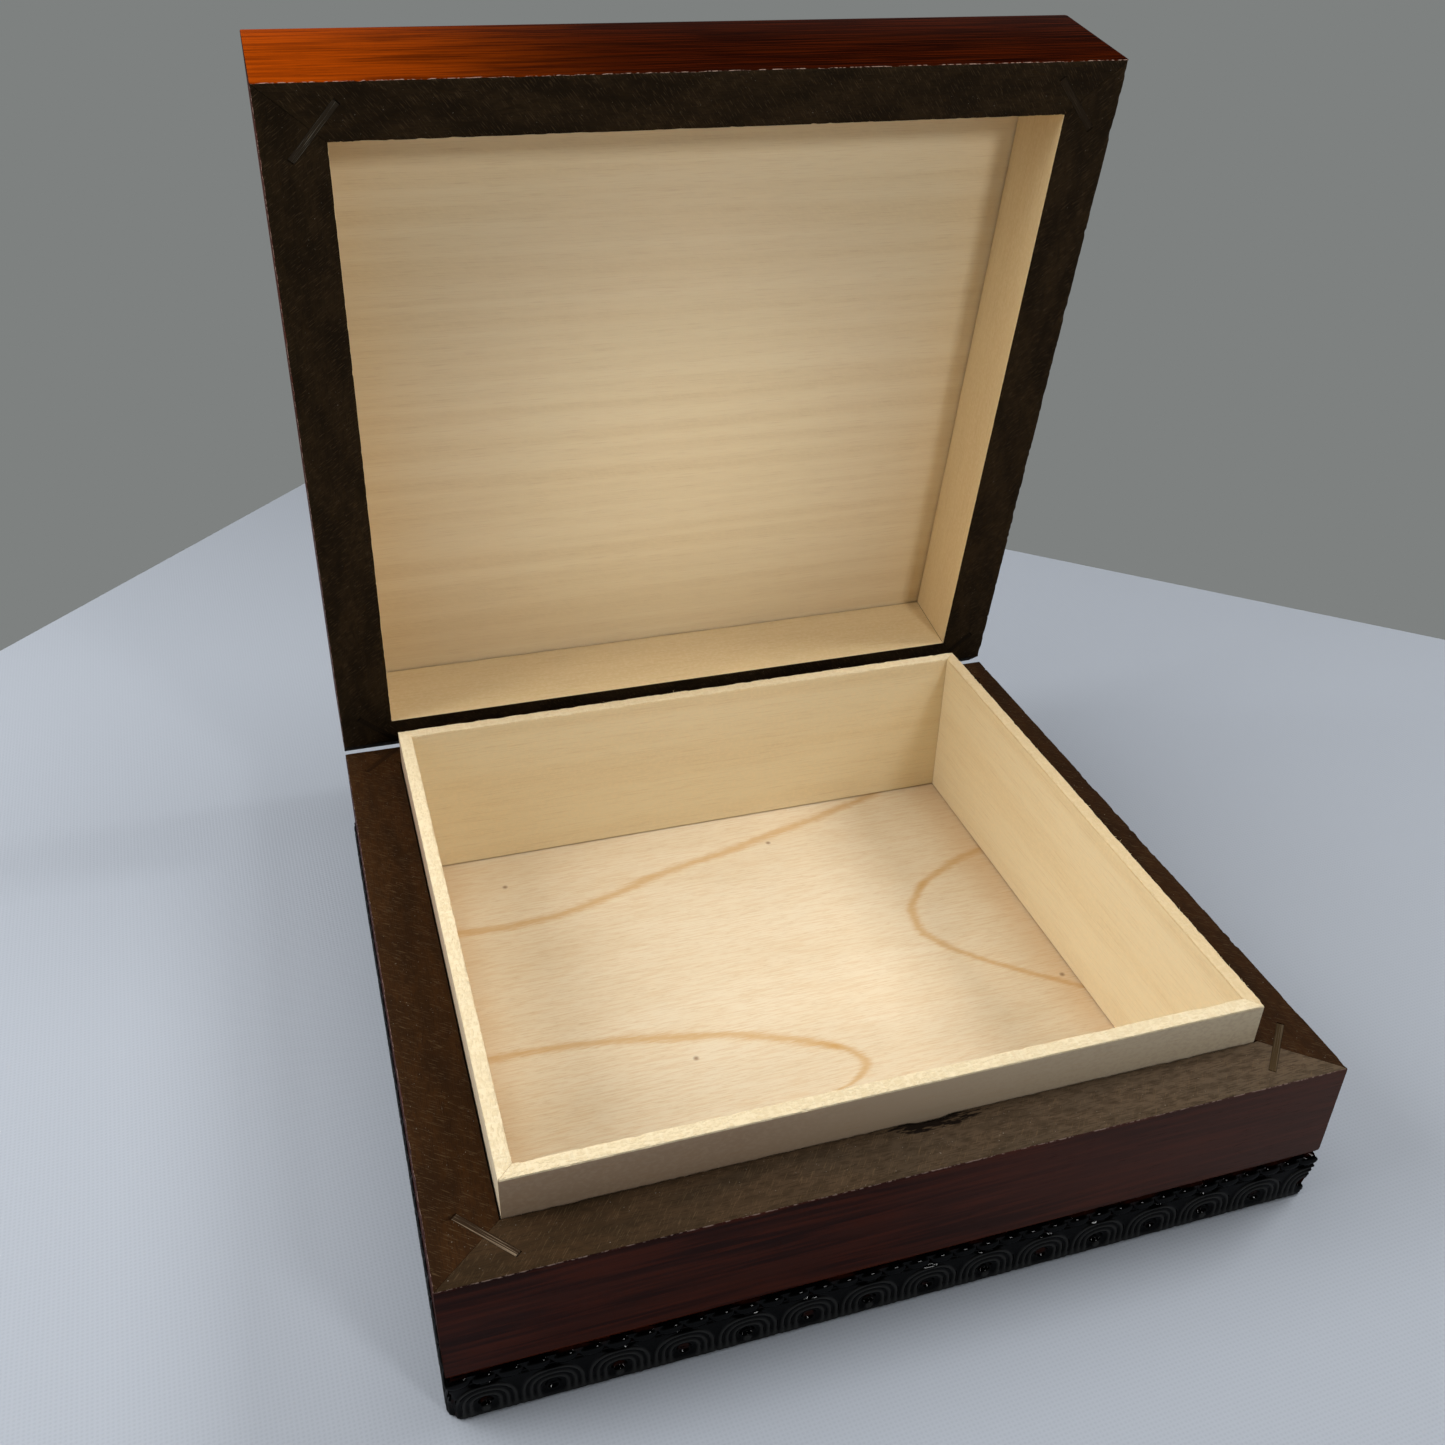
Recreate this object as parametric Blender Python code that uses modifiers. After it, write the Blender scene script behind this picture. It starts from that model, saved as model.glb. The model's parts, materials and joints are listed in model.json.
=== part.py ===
"""Wooden keepsake box with a hinged lid.

The base is a mitred frame of four boards with a carved moulding let into its foot, a plywood
floor in a ledge, and a thin pale lining that stands above the rim and locates the lid. The
moulding repeats one bay of nested arches under a row of beads, and its crests stand a little
proud of the boards. The lid is a mitred frame around a flat panel. Each corner is held by a
wooden spline. Two small butt hinges lie on bevelled rear edges, and the lid stands open where
their leaves fold together.

Metres, +Z up. X runs along the width and the front faces -Y. The origin is the middle of the
underside. Every board is drawn as its section: u runs in from the outer face, v runs up.
"""

import math

import bmesh
import bpy
from mathutils import Matrix, Vector

# Whole box
BODY_WIDTH = 0.1650
BODY_DEPTH = 0.1570
BASE_HEIGHT = 0.0334
LID_HEIGHT = 0.0292

# Frame boards
BASE_SIDE_WALL = 0.0120
BASE_FRONT_WALL = 0.0106
BASE_BACK_WALL = 0.0120
LID_SIDE_WALL = 0.0116
LID_FRONT_WALL = 0.0102
LID_BACK_WALL = 0.0116
LIP_RADIUS = 0.0018
TOP_EDGE_RADIUS = 0.0026

# Bevelled rear edges that the hinges lie on
BEVEL_RUN = 0.0052
BEVEL_ANGLE = math.radians(39.8)

# Foot of the base: rebate for the moulding, ledge for the floor
REBATE_HEIGHT = 0.0104
REBATE_DEPTH = 0.0042
FLOOR_THICKNESS = 0.0032
FLOOR_LEDGE = 0.0030

# Carved moulding: bays of nested arches under a row of beads
MOULDING_PROUD = 0.0005
BAY_WIDTH = 0.0113
BAY_HEIGHT = 0.0078
BAY_SHIFT = -0.0088
BEADS_PER_BAY = 2.5
CARVING_DEPTH = 0.0008
INNER_ARCH_DEPTH = 0.0002
HOLLOW_DEPTH = 0.0013
FOOT_SETBACK = 0.0004
ARCH_ROUNDNESS = 2.4
# Size of the outer arch, the groove inside it and the inner arch, as shares of their bay
ARCH_SHARES = (0.90, 0.70, 0.50)
# Rows of the beads: height as a share of their band, and how much of a bead's swell it has
BEAD_SHARES = ((0.0, 0.0), (0.32, 1.0), (0.72, 1.0), (1.0, 0.35))

# Lining
LINER_THICKNESS = 0.0028
LINER_RISE = 0.0087

# Lid panel
LID_PANEL_THICKNESS = 0.0111
LID_LEDGE = 0.0060

# Corner splines
SPLINE_WIDTH = 0.0130
SPLINE_THICKNESS = 0.0013
SPLINE_SETBACK = 0.0125
SPLINE_STOP = 0.0015

# Butt hinges
HINGE_SPREAD = 0.0960
LEAF_LENGTH = 0.0180
LEAF_REACH = 0.0056
LEAF_THICKNESS = 0.0006
KNUCKLE_LENGTH = 0.0060
KNUCKLE_RADIUS = 0.0012
PIN_RADIUS = 0.0006
PIN_HEAD_RADIUS = 0.0010
PIN_HEAD_HEIGHT = 0.0004
AXIS_SETBACK = 0.0010

# Hinge nails
NAIL_SPREAD = 0.0110
NAIL_LENGTH = 0.0060
NAIL_POINT = 0.0012
NAIL_SHANK_RADIUS = 0.00055
NAIL_HEAD_RADIUS = 0.0011

# Clearances
SEAT_GAP = 0.0003
MITRE_GAP = 0.0002
PARTING_GAP = 0.0004
KNUCKLE_GAP = 0.0003
PIN_CLEARANCE = 0.0001
NAIL_CLEARANCE = 0.0001
OVERRUN = 0.0020
WELD_DISTANCE = 0.00001

# Facets
ARC_STEPS = 5
KNUCKLE_SIDES = 24
NAIL_SIDES = 12
SHARP_ANGLE = math.radians(40)
QUARTER_TURN = math.radians(90)

# Places that follow from the sizes
AXIS_Y = BODY_DEPTH / 2 - BEVEL_RUN + AXIS_SETBACK
AXIS_Z = BASE_HEIGHT + PARTING_GAP / 2
LID_OPEN_ANGLE = 2 * BEVEL_ANGLE
LEAF_DROP = AXIS_SETBACK * math.sin(BEVEL_ANGLE) + PARTING_GAP / 2 * math.cos(BEVEL_ANGLE)
LID_LEDGE_HEIGHT = LID_HEIGHT - LID_PANEL_THICKNESS - SEAT_GAP
HINGE_PLACES = {"left": -HINGE_SPREAD / 2, "right": HINGE_SPREAD / 2}

# Colour, roughness and metallic value of each finish
FINISHES = {
    "mahogany": ((0.085, 0.018, 0.008), 0.25, 0.0),
    "black_lacquer": ((0.010, 0.008, 0.007), 0.22, 0.0),
    "pale_wood": ((0.72, 0.52, 0.30), 0.60, 0.0),
    "plywood": ((0.74, 0.56, 0.36), 0.60, 0.0),
    "spline_wood": ((0.13, 0.09, 0.06), 0.65, 0.0),
    "brass": ((0.60, 0.42, 0.16), 0.35, 1.0),
}


def clear_scene():
    """Remove every object that the file opens with."""
    for obj in list(bpy.data.objects):
        bpy.data.objects.remove(obj, do_unlink=True)


def new_collection(name):
    """Return a new collection linked to the scene."""
    collection = bpy.data.collections.new(name)
    bpy.context.scene.collection.children.link(collection)
    return collection


class Seat:
    """A parent object, with a place and turn in it."""

    def __init__(self, parent, location=(0, 0, 0), rotation=(0, 0, 0)):
        self.parent = parent
        self.location = Vector(location)
        self.rotation = rotation

    def moved(self, x):
        """Return the same seat, moved along the parent's X."""
        return Seat(self.parent, self.location + Vector((x, 0, 0)), self.rotation)


def link_object(name, data, collection, seat):
    """Return a new object placed on a seat."""
    obj = bpy.data.objects.new(name, data)
    collection.objects.link(obj)
    obj.parent = seat.parent
    obj.location = seat.location
    obj.rotation_euler = seat.rotation
    return obj


def add_part(name, mesh, seat, finish):
    """Return a piece of the box with its own Principled material."""
    obj = link_object(name, mesh, PARTS, seat)
    colour, roughness, metallic = FINISHES[finish]
    material = bpy.data.materials.new(name + "_finish")
    material.use_nodes = True
    shader = material.node_tree.nodes["Principled BSDF"]
    shader.inputs["Base Color"].default_value = (*colour, 1)
    shader.inputs["Roughness"].default_value = roughness
    shader.inputs["Metallic"].default_value = metallic
    obj.data.materials.append(material)
    return obj


def add_cutter(name, mesh, seat):
    """Return a shape that is only cut with, or joined on."""
    obj = link_object(name, mesh, CUTTERS, seat)
    obj.hide_render = True
    obj.display_type = "WIRE"
    return obj


def add_boolean(obj, other, operation="DIFFERENCE"):
    """Cut an object with another, or join another on."""
    modifier = obj.modifiers.new(other.name, "BOOLEAN")
    modifier.operation = operation
    modifier.solver = "EXACT"
    modifier.object = other


def mesh_from_scratch_object(obj):
    """Return an object's evaluated mesh with its seams welded, and remove the object."""
    depsgraph = bpy.context.evaluated_depsgraph_get()
    mesh = bpy.data.meshes.new_from_object(obj.evaluated_get(depsgraph))
    bpy.data.objects.remove(obj, do_unlink=True)
    shape = bmesh.new()
    shape.from_mesh(mesh)
    bmesh.ops.remove_doubles(shape, verts=shape.verts, dist=WELD_DISTANCE)
    shape.to_mesh(mesh)
    shape.free()
    return mesh


def box_mesh(name, low, high):
    """Return a box between two corners."""
    size = Vector(high) - Vector(low)
    middle = (Vector(high) + Vector(low)) / 2
    place = Matrix.Translation(middle) @ Matrix.Diagonal((*size, 1))
    shape = bmesh.new()
    bmesh.ops.create_cube(shape, size=1, matrix=place)
    mesh = bpy.data.meshes.new(name)
    shape.to_mesh(mesh)
    shape.free()
    return mesh


def rod_mesh(name, radius, start, end):
    """Return a round rod along X, between two places on it."""
    place = Matrix.Translation(((start + end) / 2, 0, 0)) @ Matrix.Rotation(QUARTER_TURN, 4, "Y")
    shape = bmesh.new()
    bmesh.ops.create_cone(shape, cap_ends=True, segments=KNUCKLE_SIDES, radius1=radius,
                          radius2=radius, depth=end - start, matrix=place)
    mesh = bpy.data.meshes.new(name)
    shape.to_mesh(mesh)
    shape.free()
    return mesh


def prism_mesh(name, outline, length):
    """Return a (u, v) section drawn out along X: u becomes Y and v becomes Z."""
    curve = bpy.data.curves.new(name, "CURVE")
    curve.dimensions = "2D"
    curve.fill_mode = "BOTH"
    curve.extrude = length / 2
    spline = curve.splines.new("POLY")
    spline.points.add(len(outline) - 1)
    for point, (u, v) in zip(spline.points, outline):
        point.co = (u, v, 0, 1)
    spline.use_cyclic_u = True
    mesh = mesh_from_scratch_object(link_object(name, curve, CUTTERS, Seat(None)))
    bpy.data.curves.remove(curve)
    upright = Matrix.Rotation(QUARTER_TURN, 4, "X")
    mesh.transform(Matrix.Rotation(QUARTER_TURN, 4, "Z") @ upright)
    return mesh


def turned_mesh(name, profile, sides):
    """Return a solid turned about Z from (radius, height) points, top to bottom."""
    mesh = bpy.data.meshes.new(name)
    points = [(radius, 0, height) for radius, height in profile]
    edges = [(index, index + 1) for index in range(len(points) - 1)]
    mesh.from_pydata(points, edges, [])
    obj = link_object(name, mesh, CUTTERS, Seat(None))
    screw = obj.modifiers.new("turn", "SCREW")
    screw.steps = sides
    screw.render_steps = sides
    screw.use_merge_vertices = True
    screw.merge_threshold = WELD_DISTANCE
    turned = mesh_from_scratch_object(obj)
    turned.shade_smooth()
    turned.set_sharp_from_angle(angle=SHARP_ANGLE)
    return turned


def group_mesh(name, mesh, places):
    """Return one mesh that holds a copy of another at each place."""
    group = bmesh.new()
    for place in places:
        copy = mesh.copy()
        copy.transform(place)
        group.from_mesh(copy)
        bpy.data.meshes.remove(copy)
    joined = bpy.data.meshes.new(name)
    group.to_mesh(joined)
    group.free()
    return joined


def arc(centre_u, centre_v, radius, start, end):
    """Return the points of an arc between two angles in degrees."""
    points = []
    for step in range(ARC_STEPS + 1):
        angle = math.radians(start + (end - start) * step / ARC_STEPS)
        points.append((centre_u + radius * math.cos(angle), centre_v + radius * math.sin(angle)))
    return points


def mitred_mesh(name, outline, length, slopes):
    """Return a board whose two ends are slid back to their mitre planes.

    A slope is how far its end moves in along X for each unit of u, first at -X, then at +X.
    """
    mesh = prism_mesh(name, outline, length)
    for vertex in mesh.vertices:
        side = math.copysign(1, vertex.co.x)
        slope = slopes[0] if side < 0 else slopes[1]
        vertex.co.x -= side * (vertex.co.y * slope + MITRE_GAP / 2 * math.hypot(1, slope))
    return mesh


class Frame:
    """The plan of four mitred boards: outer size, board thicknesses and middle."""

    def __init__(self, width, depth, side, front, back, middle_y=0):
        self.width = width
        self.depth = depth
        self.side = side
        self.front = front
        self.back = back
        self.middle_y = middle_y

    def boards(self):
        """Yield each board's name, thickness, length, place, turn and end slopes."""
        x = self.width / 2
        y = self.depth / 2
        rows = (
            ("front", self.front, self.width, (0, -y), 0, (self.side, self.side)),
            ("right", self.side, self.depth, (x, 0), 1, (self.front, self.back)),
            ("back", self.back, self.width, (0, y), 2, (self.side, self.side)),
            ("left", self.side, self.depth, (-x, 0), 3, (self.back, self.front)),
        )
        for name, thickness, length, place, quarters, neighbours in rows:
            slopes = [neighbour / thickness for neighbour in neighbours]
            location = (place[0], place[1] + self.middle_y, 0)
            yield name, thickness, length, location, quarters * QUARTER_TURN, slopes

    def corners(self):
        """Yield the names of each corner's two boards, its spline's place and its turn."""
        for row, y_sign, end in (("front", -1, self.front), ("back", 1, self.back)):
            for column, x_sign in (("left", -1), ("right", 1)):
                inward = Vector((-x_sign * self.side, -y_sign * end)).normalized()
                corner = Vector((x_sign * self.width / 2, y_sign * self.depth / 2))
                place = corner + inward * SPLINE_SETBACK
                turn = math.atan2(inward.y, inward.x) + QUARTER_TURN
                yield (row, column), (place.x, place.y, 0), turn

    def inside(self, reach):
        """Return the corners in plan of the space inside, with each side moved out by reach."""
        low = (-self.width / 2 + self.side - reach, -self.depth / 2 + self.front - reach)
        high = (self.width / 2 - self.side + reach, self.depth / 2 - self.back + reach)
        return low, high

    def lining(self, thickness):
        """Return the frame of thin boards that stands just inside this one."""
        low, high = self.inside(-SEAT_GAP)
        return Frame(high[0] - low[0], high[1] - low[1], thickness, thickness, thickness,
                     (low[1] + high[1]) / 2)


def add_boards(prefix, suffix, frame, parent, outline_of, finish):
    """Add a frame's four boards and return them by name."""
    boards = {}
    for name, thickness, length, location, turn, slopes in frame.boards():
        piece = f"{prefix}_{name}{suffix}"
        mesh = mitred_mesh(piece, outline_of(thickness), length, slopes)
        boards[name] = add_part(piece, mesh, Seat(parent, location, (0, 0, turn)), finish)
    return boards


def add_splines(prefix, frame, walls, parent, foot, head, groove_foot, groove_head):
    """Add a spline across each mitre, cut its groove in both boards, and return the rear ones."""
    half = SPLINE_WIDTH / 2
    edge = SPLINE_THICKNESS / 2
    spline = box_mesh(prefix + "_spline", (-half, -edge, foot), (half, edge, head))
    groove = box_mesh(prefix + "_groove", (-half - SEAT_GAP, -edge - SEAT_GAP, groove_foot),
                      (half + SEAT_GAP, edge + SEAT_GAP, groove_head))
    rear = []
    for names, place, turn in frame.corners():
        seat = Seat(parent, place, (0, 0, turn))
        corner = "_".join(names)
        cutter = add_cutter(f"{prefix}_groove_{corner}", groove.copy(), seat)
        for name in names:
            add_boolean(walls[name], cutter)
        piece = add_part(f"{prefix}_spline_{corner}", spline.copy(), seat, "spline_wood")
        if "back" in names:
            rear.append(piece)
    return rear


def add_panel(name, frame, reach, low_z, high_z, parent, finish):
    """Add a flat panel that reaches under the boards around it."""
    low, high = frame.inside(reach)
    mesh = box_mesh(name, (*low, low_z), (*high, high_z))
    return add_part(name, mesh, Seat(parent), finish)


def base_wall_section(thickness):
    """Return the section of a base board: rim, rounded lip, rebate, foot and floor ledge."""
    foot = thickness - FLOOR_LEDGE
    ledge = FLOOR_THICKNESS + SEAT_GAP
    return [
        (REBATE_DEPTH, 0),
        (foot, 0),
        (foot, ledge),
        (thickness, ledge),
        (thickness, BASE_HEIGHT),
        (0, BASE_HEIGHT),
        *arc(LIP_RADIUS, REBATE_HEIGHT + LIP_RADIUS, LIP_RADIUS, 180, 270),
        (REBATE_DEPTH, REBATE_HEIGHT),
    ]


def lid_wall_section(thickness):
    """Return the section of a lid board: rim, ledge for the panel and rounded top edge."""
    ledge = thickness - LID_LEDGE
    return [
        (0, 0),
        (thickness, 0),
        (thickness, LID_LEDGE_HEIGHT),
        (ledge, LID_LEDGE_HEIGHT),
        (ledge, LID_HEIGHT),
        *arc(TOP_EDGE_RADIUS, LID_HEIGHT - TOP_EDGE_RADIUS, TOP_EDGE_RADIUS, 90, 180),
    ]


def bead_places():
    """Return the places across a bay of its two edges and of each bead and gap between them."""
    step = BAY_WIDTH / BEADS_PER_BAY / 2
    reach = int(BEADS_PER_BAY)
    inner = [number * step for number in range(-reach, reach + 1)]
    return [-BAY_WIDTH / 2, *inner, BAY_WIDTH / 2]


def arch_rings():
    """Return the rings of one bay from its rim to the hollow, as (along, depth, height) points.

    Each ring runs from the left foot over the top to the right foot. The rings between the rim and
    the hollow follow superellipses, which give the arches their squarish round heads.
    """
    half = BAY_WIDTH / 2
    sides = (0, BAY_HEIGHT / 2)
    rim = [(-half, height) for height in sides]
    rim += [(x, BAY_HEIGHT) for x in bead_places()]
    rim += [(half, height) for height in reversed(sides)]
    rings = [[(x, CARVING_DEPTH, height) for x, height in rim]]
    for share, depth in zip(ARCH_SHARES, (0, CARVING_DEPTH, INNER_ARCH_DEPTH)):
        ring = []
        for x, height in rim:
            across = abs(x / half) ** ARCH_ROUNDNESS
            up = (height / BAY_HEIGHT) ** ARCH_ROUNDNESS
            inward = share / (across + up) ** (1 / ARCH_ROUNDNESS)
            setback = 0 if height else FOOT_SETBACK
            ring.append((x * inward, depth + setback, height * inward))
        rings.append(ring)
    rings.append([(0, HOLLOW_DEPTH, 0)] * len(rim))
    return rings


def bead_rows(middle):
    """Return the rows of beads over the bay whose middle is given, from the arches up."""
    band = REBATE_HEIGHT - SEAT_GAP - BAY_HEIGHT
    rows = []
    for height_share, swell_share in BEAD_SHARES:
        row = []
        for x in bead_places():
            swell = (1 + math.cos(math.tau * (middle + x) * BEADS_PER_BAY / BAY_WIDTH)) / 2
            depth = CARVING_DEPTH * (1 - swell * swell_share)
            row.append((x, depth, BAY_HEIGHT + band * height_share))
        rows.append(row)
    return rows


def carved_mesh(name, length):
    """Return a carved strip along X, at least as long as asked, with its bays a little to the left."""
    bays = math.ceil((length / 2 - BAY_SHIFT) / BAY_WIDTH)
    shape = bmesh.new()
    for bay in range(-bays, bays + 1):
        middle = bay * BAY_WIDTH
        for rows in (arch_rings(), bead_rows(middle)):
            skin = [[shape.verts.new((BAY_SHIFT + middle + x, depth - MOULDING_PROUD, height))
                     for x, depth, height in row] for row in rows]
            for row, onward in zip(skin, skin[1:]):
                for number in range(len(row) - 1):
                    shape.faces.new((row[number], row[number + 1], onward[number + 1], onward[number]))
    bmesh.ops.remove_doubles(shape, verts=shape.verts, dist=WELD_DISTANCE)
    rim = [edge for edge in shape.edges if edge.is_boundary]
    grown = bmesh.ops.extrude_edge_only(shape, edges=rim)["geom"]
    for vertex in (item for item in grown if isinstance(item, bmesh.types.BMVert)):
        vertex.co.y = REBATE_DEPTH - SEAT_GAP
    bmesh.ops.holes_fill(shape, edges=[edge for edge in shape.edges if edge.is_boundary])
    bmesh.ops.recalc_face_normals(shape, faces=shape.faces)
    bmesh.ops.triangulate(shape, faces=shape.faces)
    mesh = bpy.data.meshes.new(name)
    shape.to_mesh(mesh)
    shape.free()
    return mesh


def add_mouldings(frame, parent):
    """Add the four carved strips and cut each to its mitres."""
    back = REBATE_DEPTH + OVERRUN
    head = REBATE_HEIGHT + OVERRUN
    outline = [(-OVERRUN, -OVERRUN), (back, -OVERRUN), (back, head), (-OVERRUN, head)]
    for name, _thickness, length, location, turn, slopes in frame.boards():
        piece = "moulding_" + name
        seat = Seat(parent, location, (0, 0, turn))
        strip = add_part(piece, carved_mesh(piece, length), seat, "black_lacquer")
        mitres = mitred_mesh(piece + "_mitres", outline, length, slopes)
        add_boolean(strip, add_cutter(piece + "_mitres", mitres, seat), "INTERSECT")


def liner_section(thickness):
    """Return the section of a lining board, which stands on the floor."""
    foot = FLOOR_THICKNESS + SEAT_GAP
    head = BASE_HEIGHT + LINER_RISE
    return [(0, foot), (thickness, foot), (thickness, head), (0, head)]


def nail_places(hinge_places):
    """Return the middle of each nail head's face on the seat of the hinge axis."""
    reach = (KNUCKLE_RADIUS + LEAF_REACH) / 2
    face = LEAF_THICKNESS - LEAF_DROP
    return [Matrix.Translation((x + side * NAIL_SPREAD / 2, reach, face))
            for x in hinge_places for side in (-1, 1)]


def bevel_cutter(name, seat):
    """Return the block above a bevel, whose underside lies in the bevel's plane."""
    half = BODY_WIDTH / 2 + OVERRUN
    far = BEVEL_RUN / math.cos(BEVEL_ANGLE) + OVERRUN
    block = box_mesh(name, (-half, -BEVEL_RUN, -LEAF_DROP), (half, far, BEVEL_RUN))
    return add_cutter(name, block, seat)


def cut_hinge_pockets(prefix, wall, seat):
    """Cut the mortises, barrel channels and nail holes of both hinges in a rear board."""
    half = LEAF_LENGTH / 2 + SEAT_GAP
    channel_half = LEAF_LENGTH / 2 + PIN_HEAD_HEIGHT + 2 * SEAT_GAP
    shaft = NAIL_SHANK_RADIUS + SEAT_GAP
    depth = NAIL_LENGTH + SEAT_GAP
    mortise = box_mesh("mortise", (-half, 0, -LEAF_DROP - SEAT_GAP),
                       (half, LEAF_REACH + SEAT_GAP, OVERRUN))
    channel = rod_mesh("channel", KNUCKLE_RADIUS + SEAT_GAP, -channel_half, channel_half)
    hole = turned_mesh("nail_hole", [(0, OVERRUN), (shaft, OVERRUN), (shaft, -depth), (0, -depth)],
                       NAIL_SIDES)
    hinge_places = [Matrix.Translation((x, 0, 0)) for x in HINGE_PLACES.values()]
    cuts = (
        ("mortises", mortise, hinge_places),
        ("channels", channel, hinge_places),
        ("nail_holes", hole, nail_places(HINGE_PLACES.values())),
    )
    for name, mesh, places in cuts:
        cutter = add_cutter(f"{prefix}_{name}", group_mesh(name, mesh, places), seat)
        add_boolean(wall, cutter)


def add_leaf(name, seat, own, other):
    """Add a hinge leaf with its own knuckles, cut back around the other leaf's knuckles."""
    half = LEAF_LENGTH / 2
    face = LEAF_THICKNESS - LEAF_DROP
    plate = box_mesh(name, (-half, 0, -LEAF_DROP), (half, LEAF_REACH, face))
    leaf = add_part(name, plate, seat, "brass")
    for number, (start, end) in enumerate(other):
        room = rod_mesh("room", KNUCKLE_RADIUS + KNUCKLE_GAP, start - KNUCKLE_GAP, end + KNUCKLE_GAP)
        add_boolean(leaf, add_cutter(f"{name}_room_{number}", room, seat))
    for number, (start, end) in enumerate(own):
        knuckle = rod_mesh("knuckle", KNUCKLE_RADIUS, start, end)
        add_boolean(leaf, add_cutter(f"{name}_knuckle_{number}", knuckle, seat), "UNION")
    bore = rod_mesh("bore", PIN_RADIUS + PIN_CLEARANCE, -half - OVERRUN, half + OVERRUN)
    add_boolean(leaf, add_cutter(name + "_bore", bore, seat))

    head = NAIL_HEAD_RADIUS + NAIL_CLEARANCE
    shank = NAIL_SHANK_RADIUS + NAIL_CLEARANCE
    flare = (NAIL_HEAD_RADIUS - NAIL_SHANK_RADIUS) / LEAF_THICKNESS * OVERRUN
    profile = [
        (0, OVERRUN),
        (head + flare, OVERRUN),
        (shank, -LEAF_THICKNESS),
        (shank, -LEAF_THICKNESS - OVERRUN),
        (0, -LEAF_THICKNESS - OVERRUN),
    ]
    holes = group_mesh("countersinks", turned_mesh("countersink", profile, NAIL_SIDES), nail_places([0]))
    add_boolean(leaf, add_cutter(name + "_countersinks", holes, seat))


def add_nails(prefix, seat):
    """Add the two countersunk nails that hold a leaf down."""
    profile = [
        (0, 0),
        (NAIL_HEAD_RADIUS, 0),
        (NAIL_SHANK_RADIUS, -LEAF_THICKNESS),
        (NAIL_SHANK_RADIUS, NAIL_POINT - NAIL_LENGTH),
        (0, -NAIL_LENGTH),
    ]
    for number, place in enumerate(nail_places([0]), 1):
        nail = turned_mesh("nail", profile, NAIL_SIDES)
        nail.transform(place)
        add_part(f"{prefix}_nail_{number}", nail, seat, "brass")


def add_pin(name, seat):
    """Add a hinge pin with its two riveted heads."""
    half = LEAF_LENGTH / 2 + PIN_CLEARANCE
    end = half + PIN_HEAD_HEIGHT
    profile = [
        (0, end),
        (PIN_RADIUS, end),
        (PIN_HEAD_RADIUS, half + PIN_HEAD_HEIGHT / 2),
        (PIN_HEAD_RADIUS, half),
        (PIN_RADIUS, half),
        (PIN_RADIUS, -half),
        (PIN_HEAD_RADIUS, -half),
        (PIN_HEAD_RADIUS, -half - PIN_HEAD_HEIGHT / 2),
        (PIN_RADIUS, -end),
        (0, -end),
    ]
    pin = turned_mesh(name, profile, KNUCKLE_SIDES)
    pin.transform(Matrix.Rotation(QUARTER_TURN, 4, "Y"))
    add_part(name, pin, seat, "brass")


def build_base(parent, seat):
    """Build the base: boards, splines, floor, lining and moulding."""
    frame = Frame(BODY_WIDTH, BODY_DEPTH, BASE_SIDE_WALL, BASE_FRONT_WALL, BASE_BACK_WALL)
    walls = add_boards("base", "_wall", frame, parent, base_wall_section, "mahogany")
    foot = REBATE_HEIGHT + SPLINE_STOP
    rear = add_splines("base", frame, walls, parent, foot, BASE_HEIGHT, foot - SEAT_GAP,
                       BASE_HEIGHT + OVERRUN)
    bevel = bevel_cutter("base_bevel", seat)
    for piece in (walls["back"], walls["left"], walls["right"], *rear):
        add_boolean(piece, bevel)
    cut_hinge_pockets("base", walls["back"], seat)
    add_panel("floor_panel", frame, FLOOR_LEDGE - SEAT_GAP, 0, FLOOR_THICKNESS, parent, "plywood")
    lining = frame.lining(LINER_THICKNESS)
    add_boards("liner", "", lining, parent, liner_section, "pale_wood")
    add_mouldings(frame, parent)


def build_lid(parent, seat):
    """Build the lid in its closed position: boards, splines and panel."""
    frame = Frame(BODY_WIDTH, BODY_DEPTH, LID_SIDE_WALL, LID_FRONT_WALL, LID_BACK_WALL)
    walls = add_boards("lid", "_wall", frame, parent, lid_wall_section, "mahogany")
    head = LID_LEDGE_HEIGHT - SPLINE_STOP
    rear = add_splines("lid", frame, walls, parent, 0, head, -OVERRUN, head + SEAT_GAP)
    bevel = bevel_cutter("lid_bevel", seat)
    for piece in (walls["back"], walls["left"], walls["right"], *rear):
        add_boolean(piece, bevel)
    cut_hinge_pockets("lid", walls["back"], seat)
    add_panel("lid_panel", frame, LID_LEDGE - SEAT_GAP, LID_LEDGE_HEIGHT + SEAT_GAP, LID_HEIGHT,
              parent, "pale_wood")


def build_hinges(base_seat, lid_seat):
    """Build both butt hinges with their pins and nails."""
    half = LEAF_LENGTH / 2
    middle = KNUCKLE_LENGTH / 2
    outer = [(-half, -middle - KNUCKLE_GAP), (middle + KNUCKLE_GAP, half)]
    inner = [(-middle, middle)]
    for name, x in HINGE_PLACES.items():
        sides = (("base", base_seat.moved(x), outer, inner), ("lid", lid_seat.moved(x), inner, outer))
        for body, seat, own, other in sides:
            add_leaf(f"hinge_{name}_{body}_leaf", seat, own, other)
            add_nails(f"hinge_{name}_{body}", seat)
        add_pin(f"hinge_{name}_pin", base_seat.moved(x))


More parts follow.
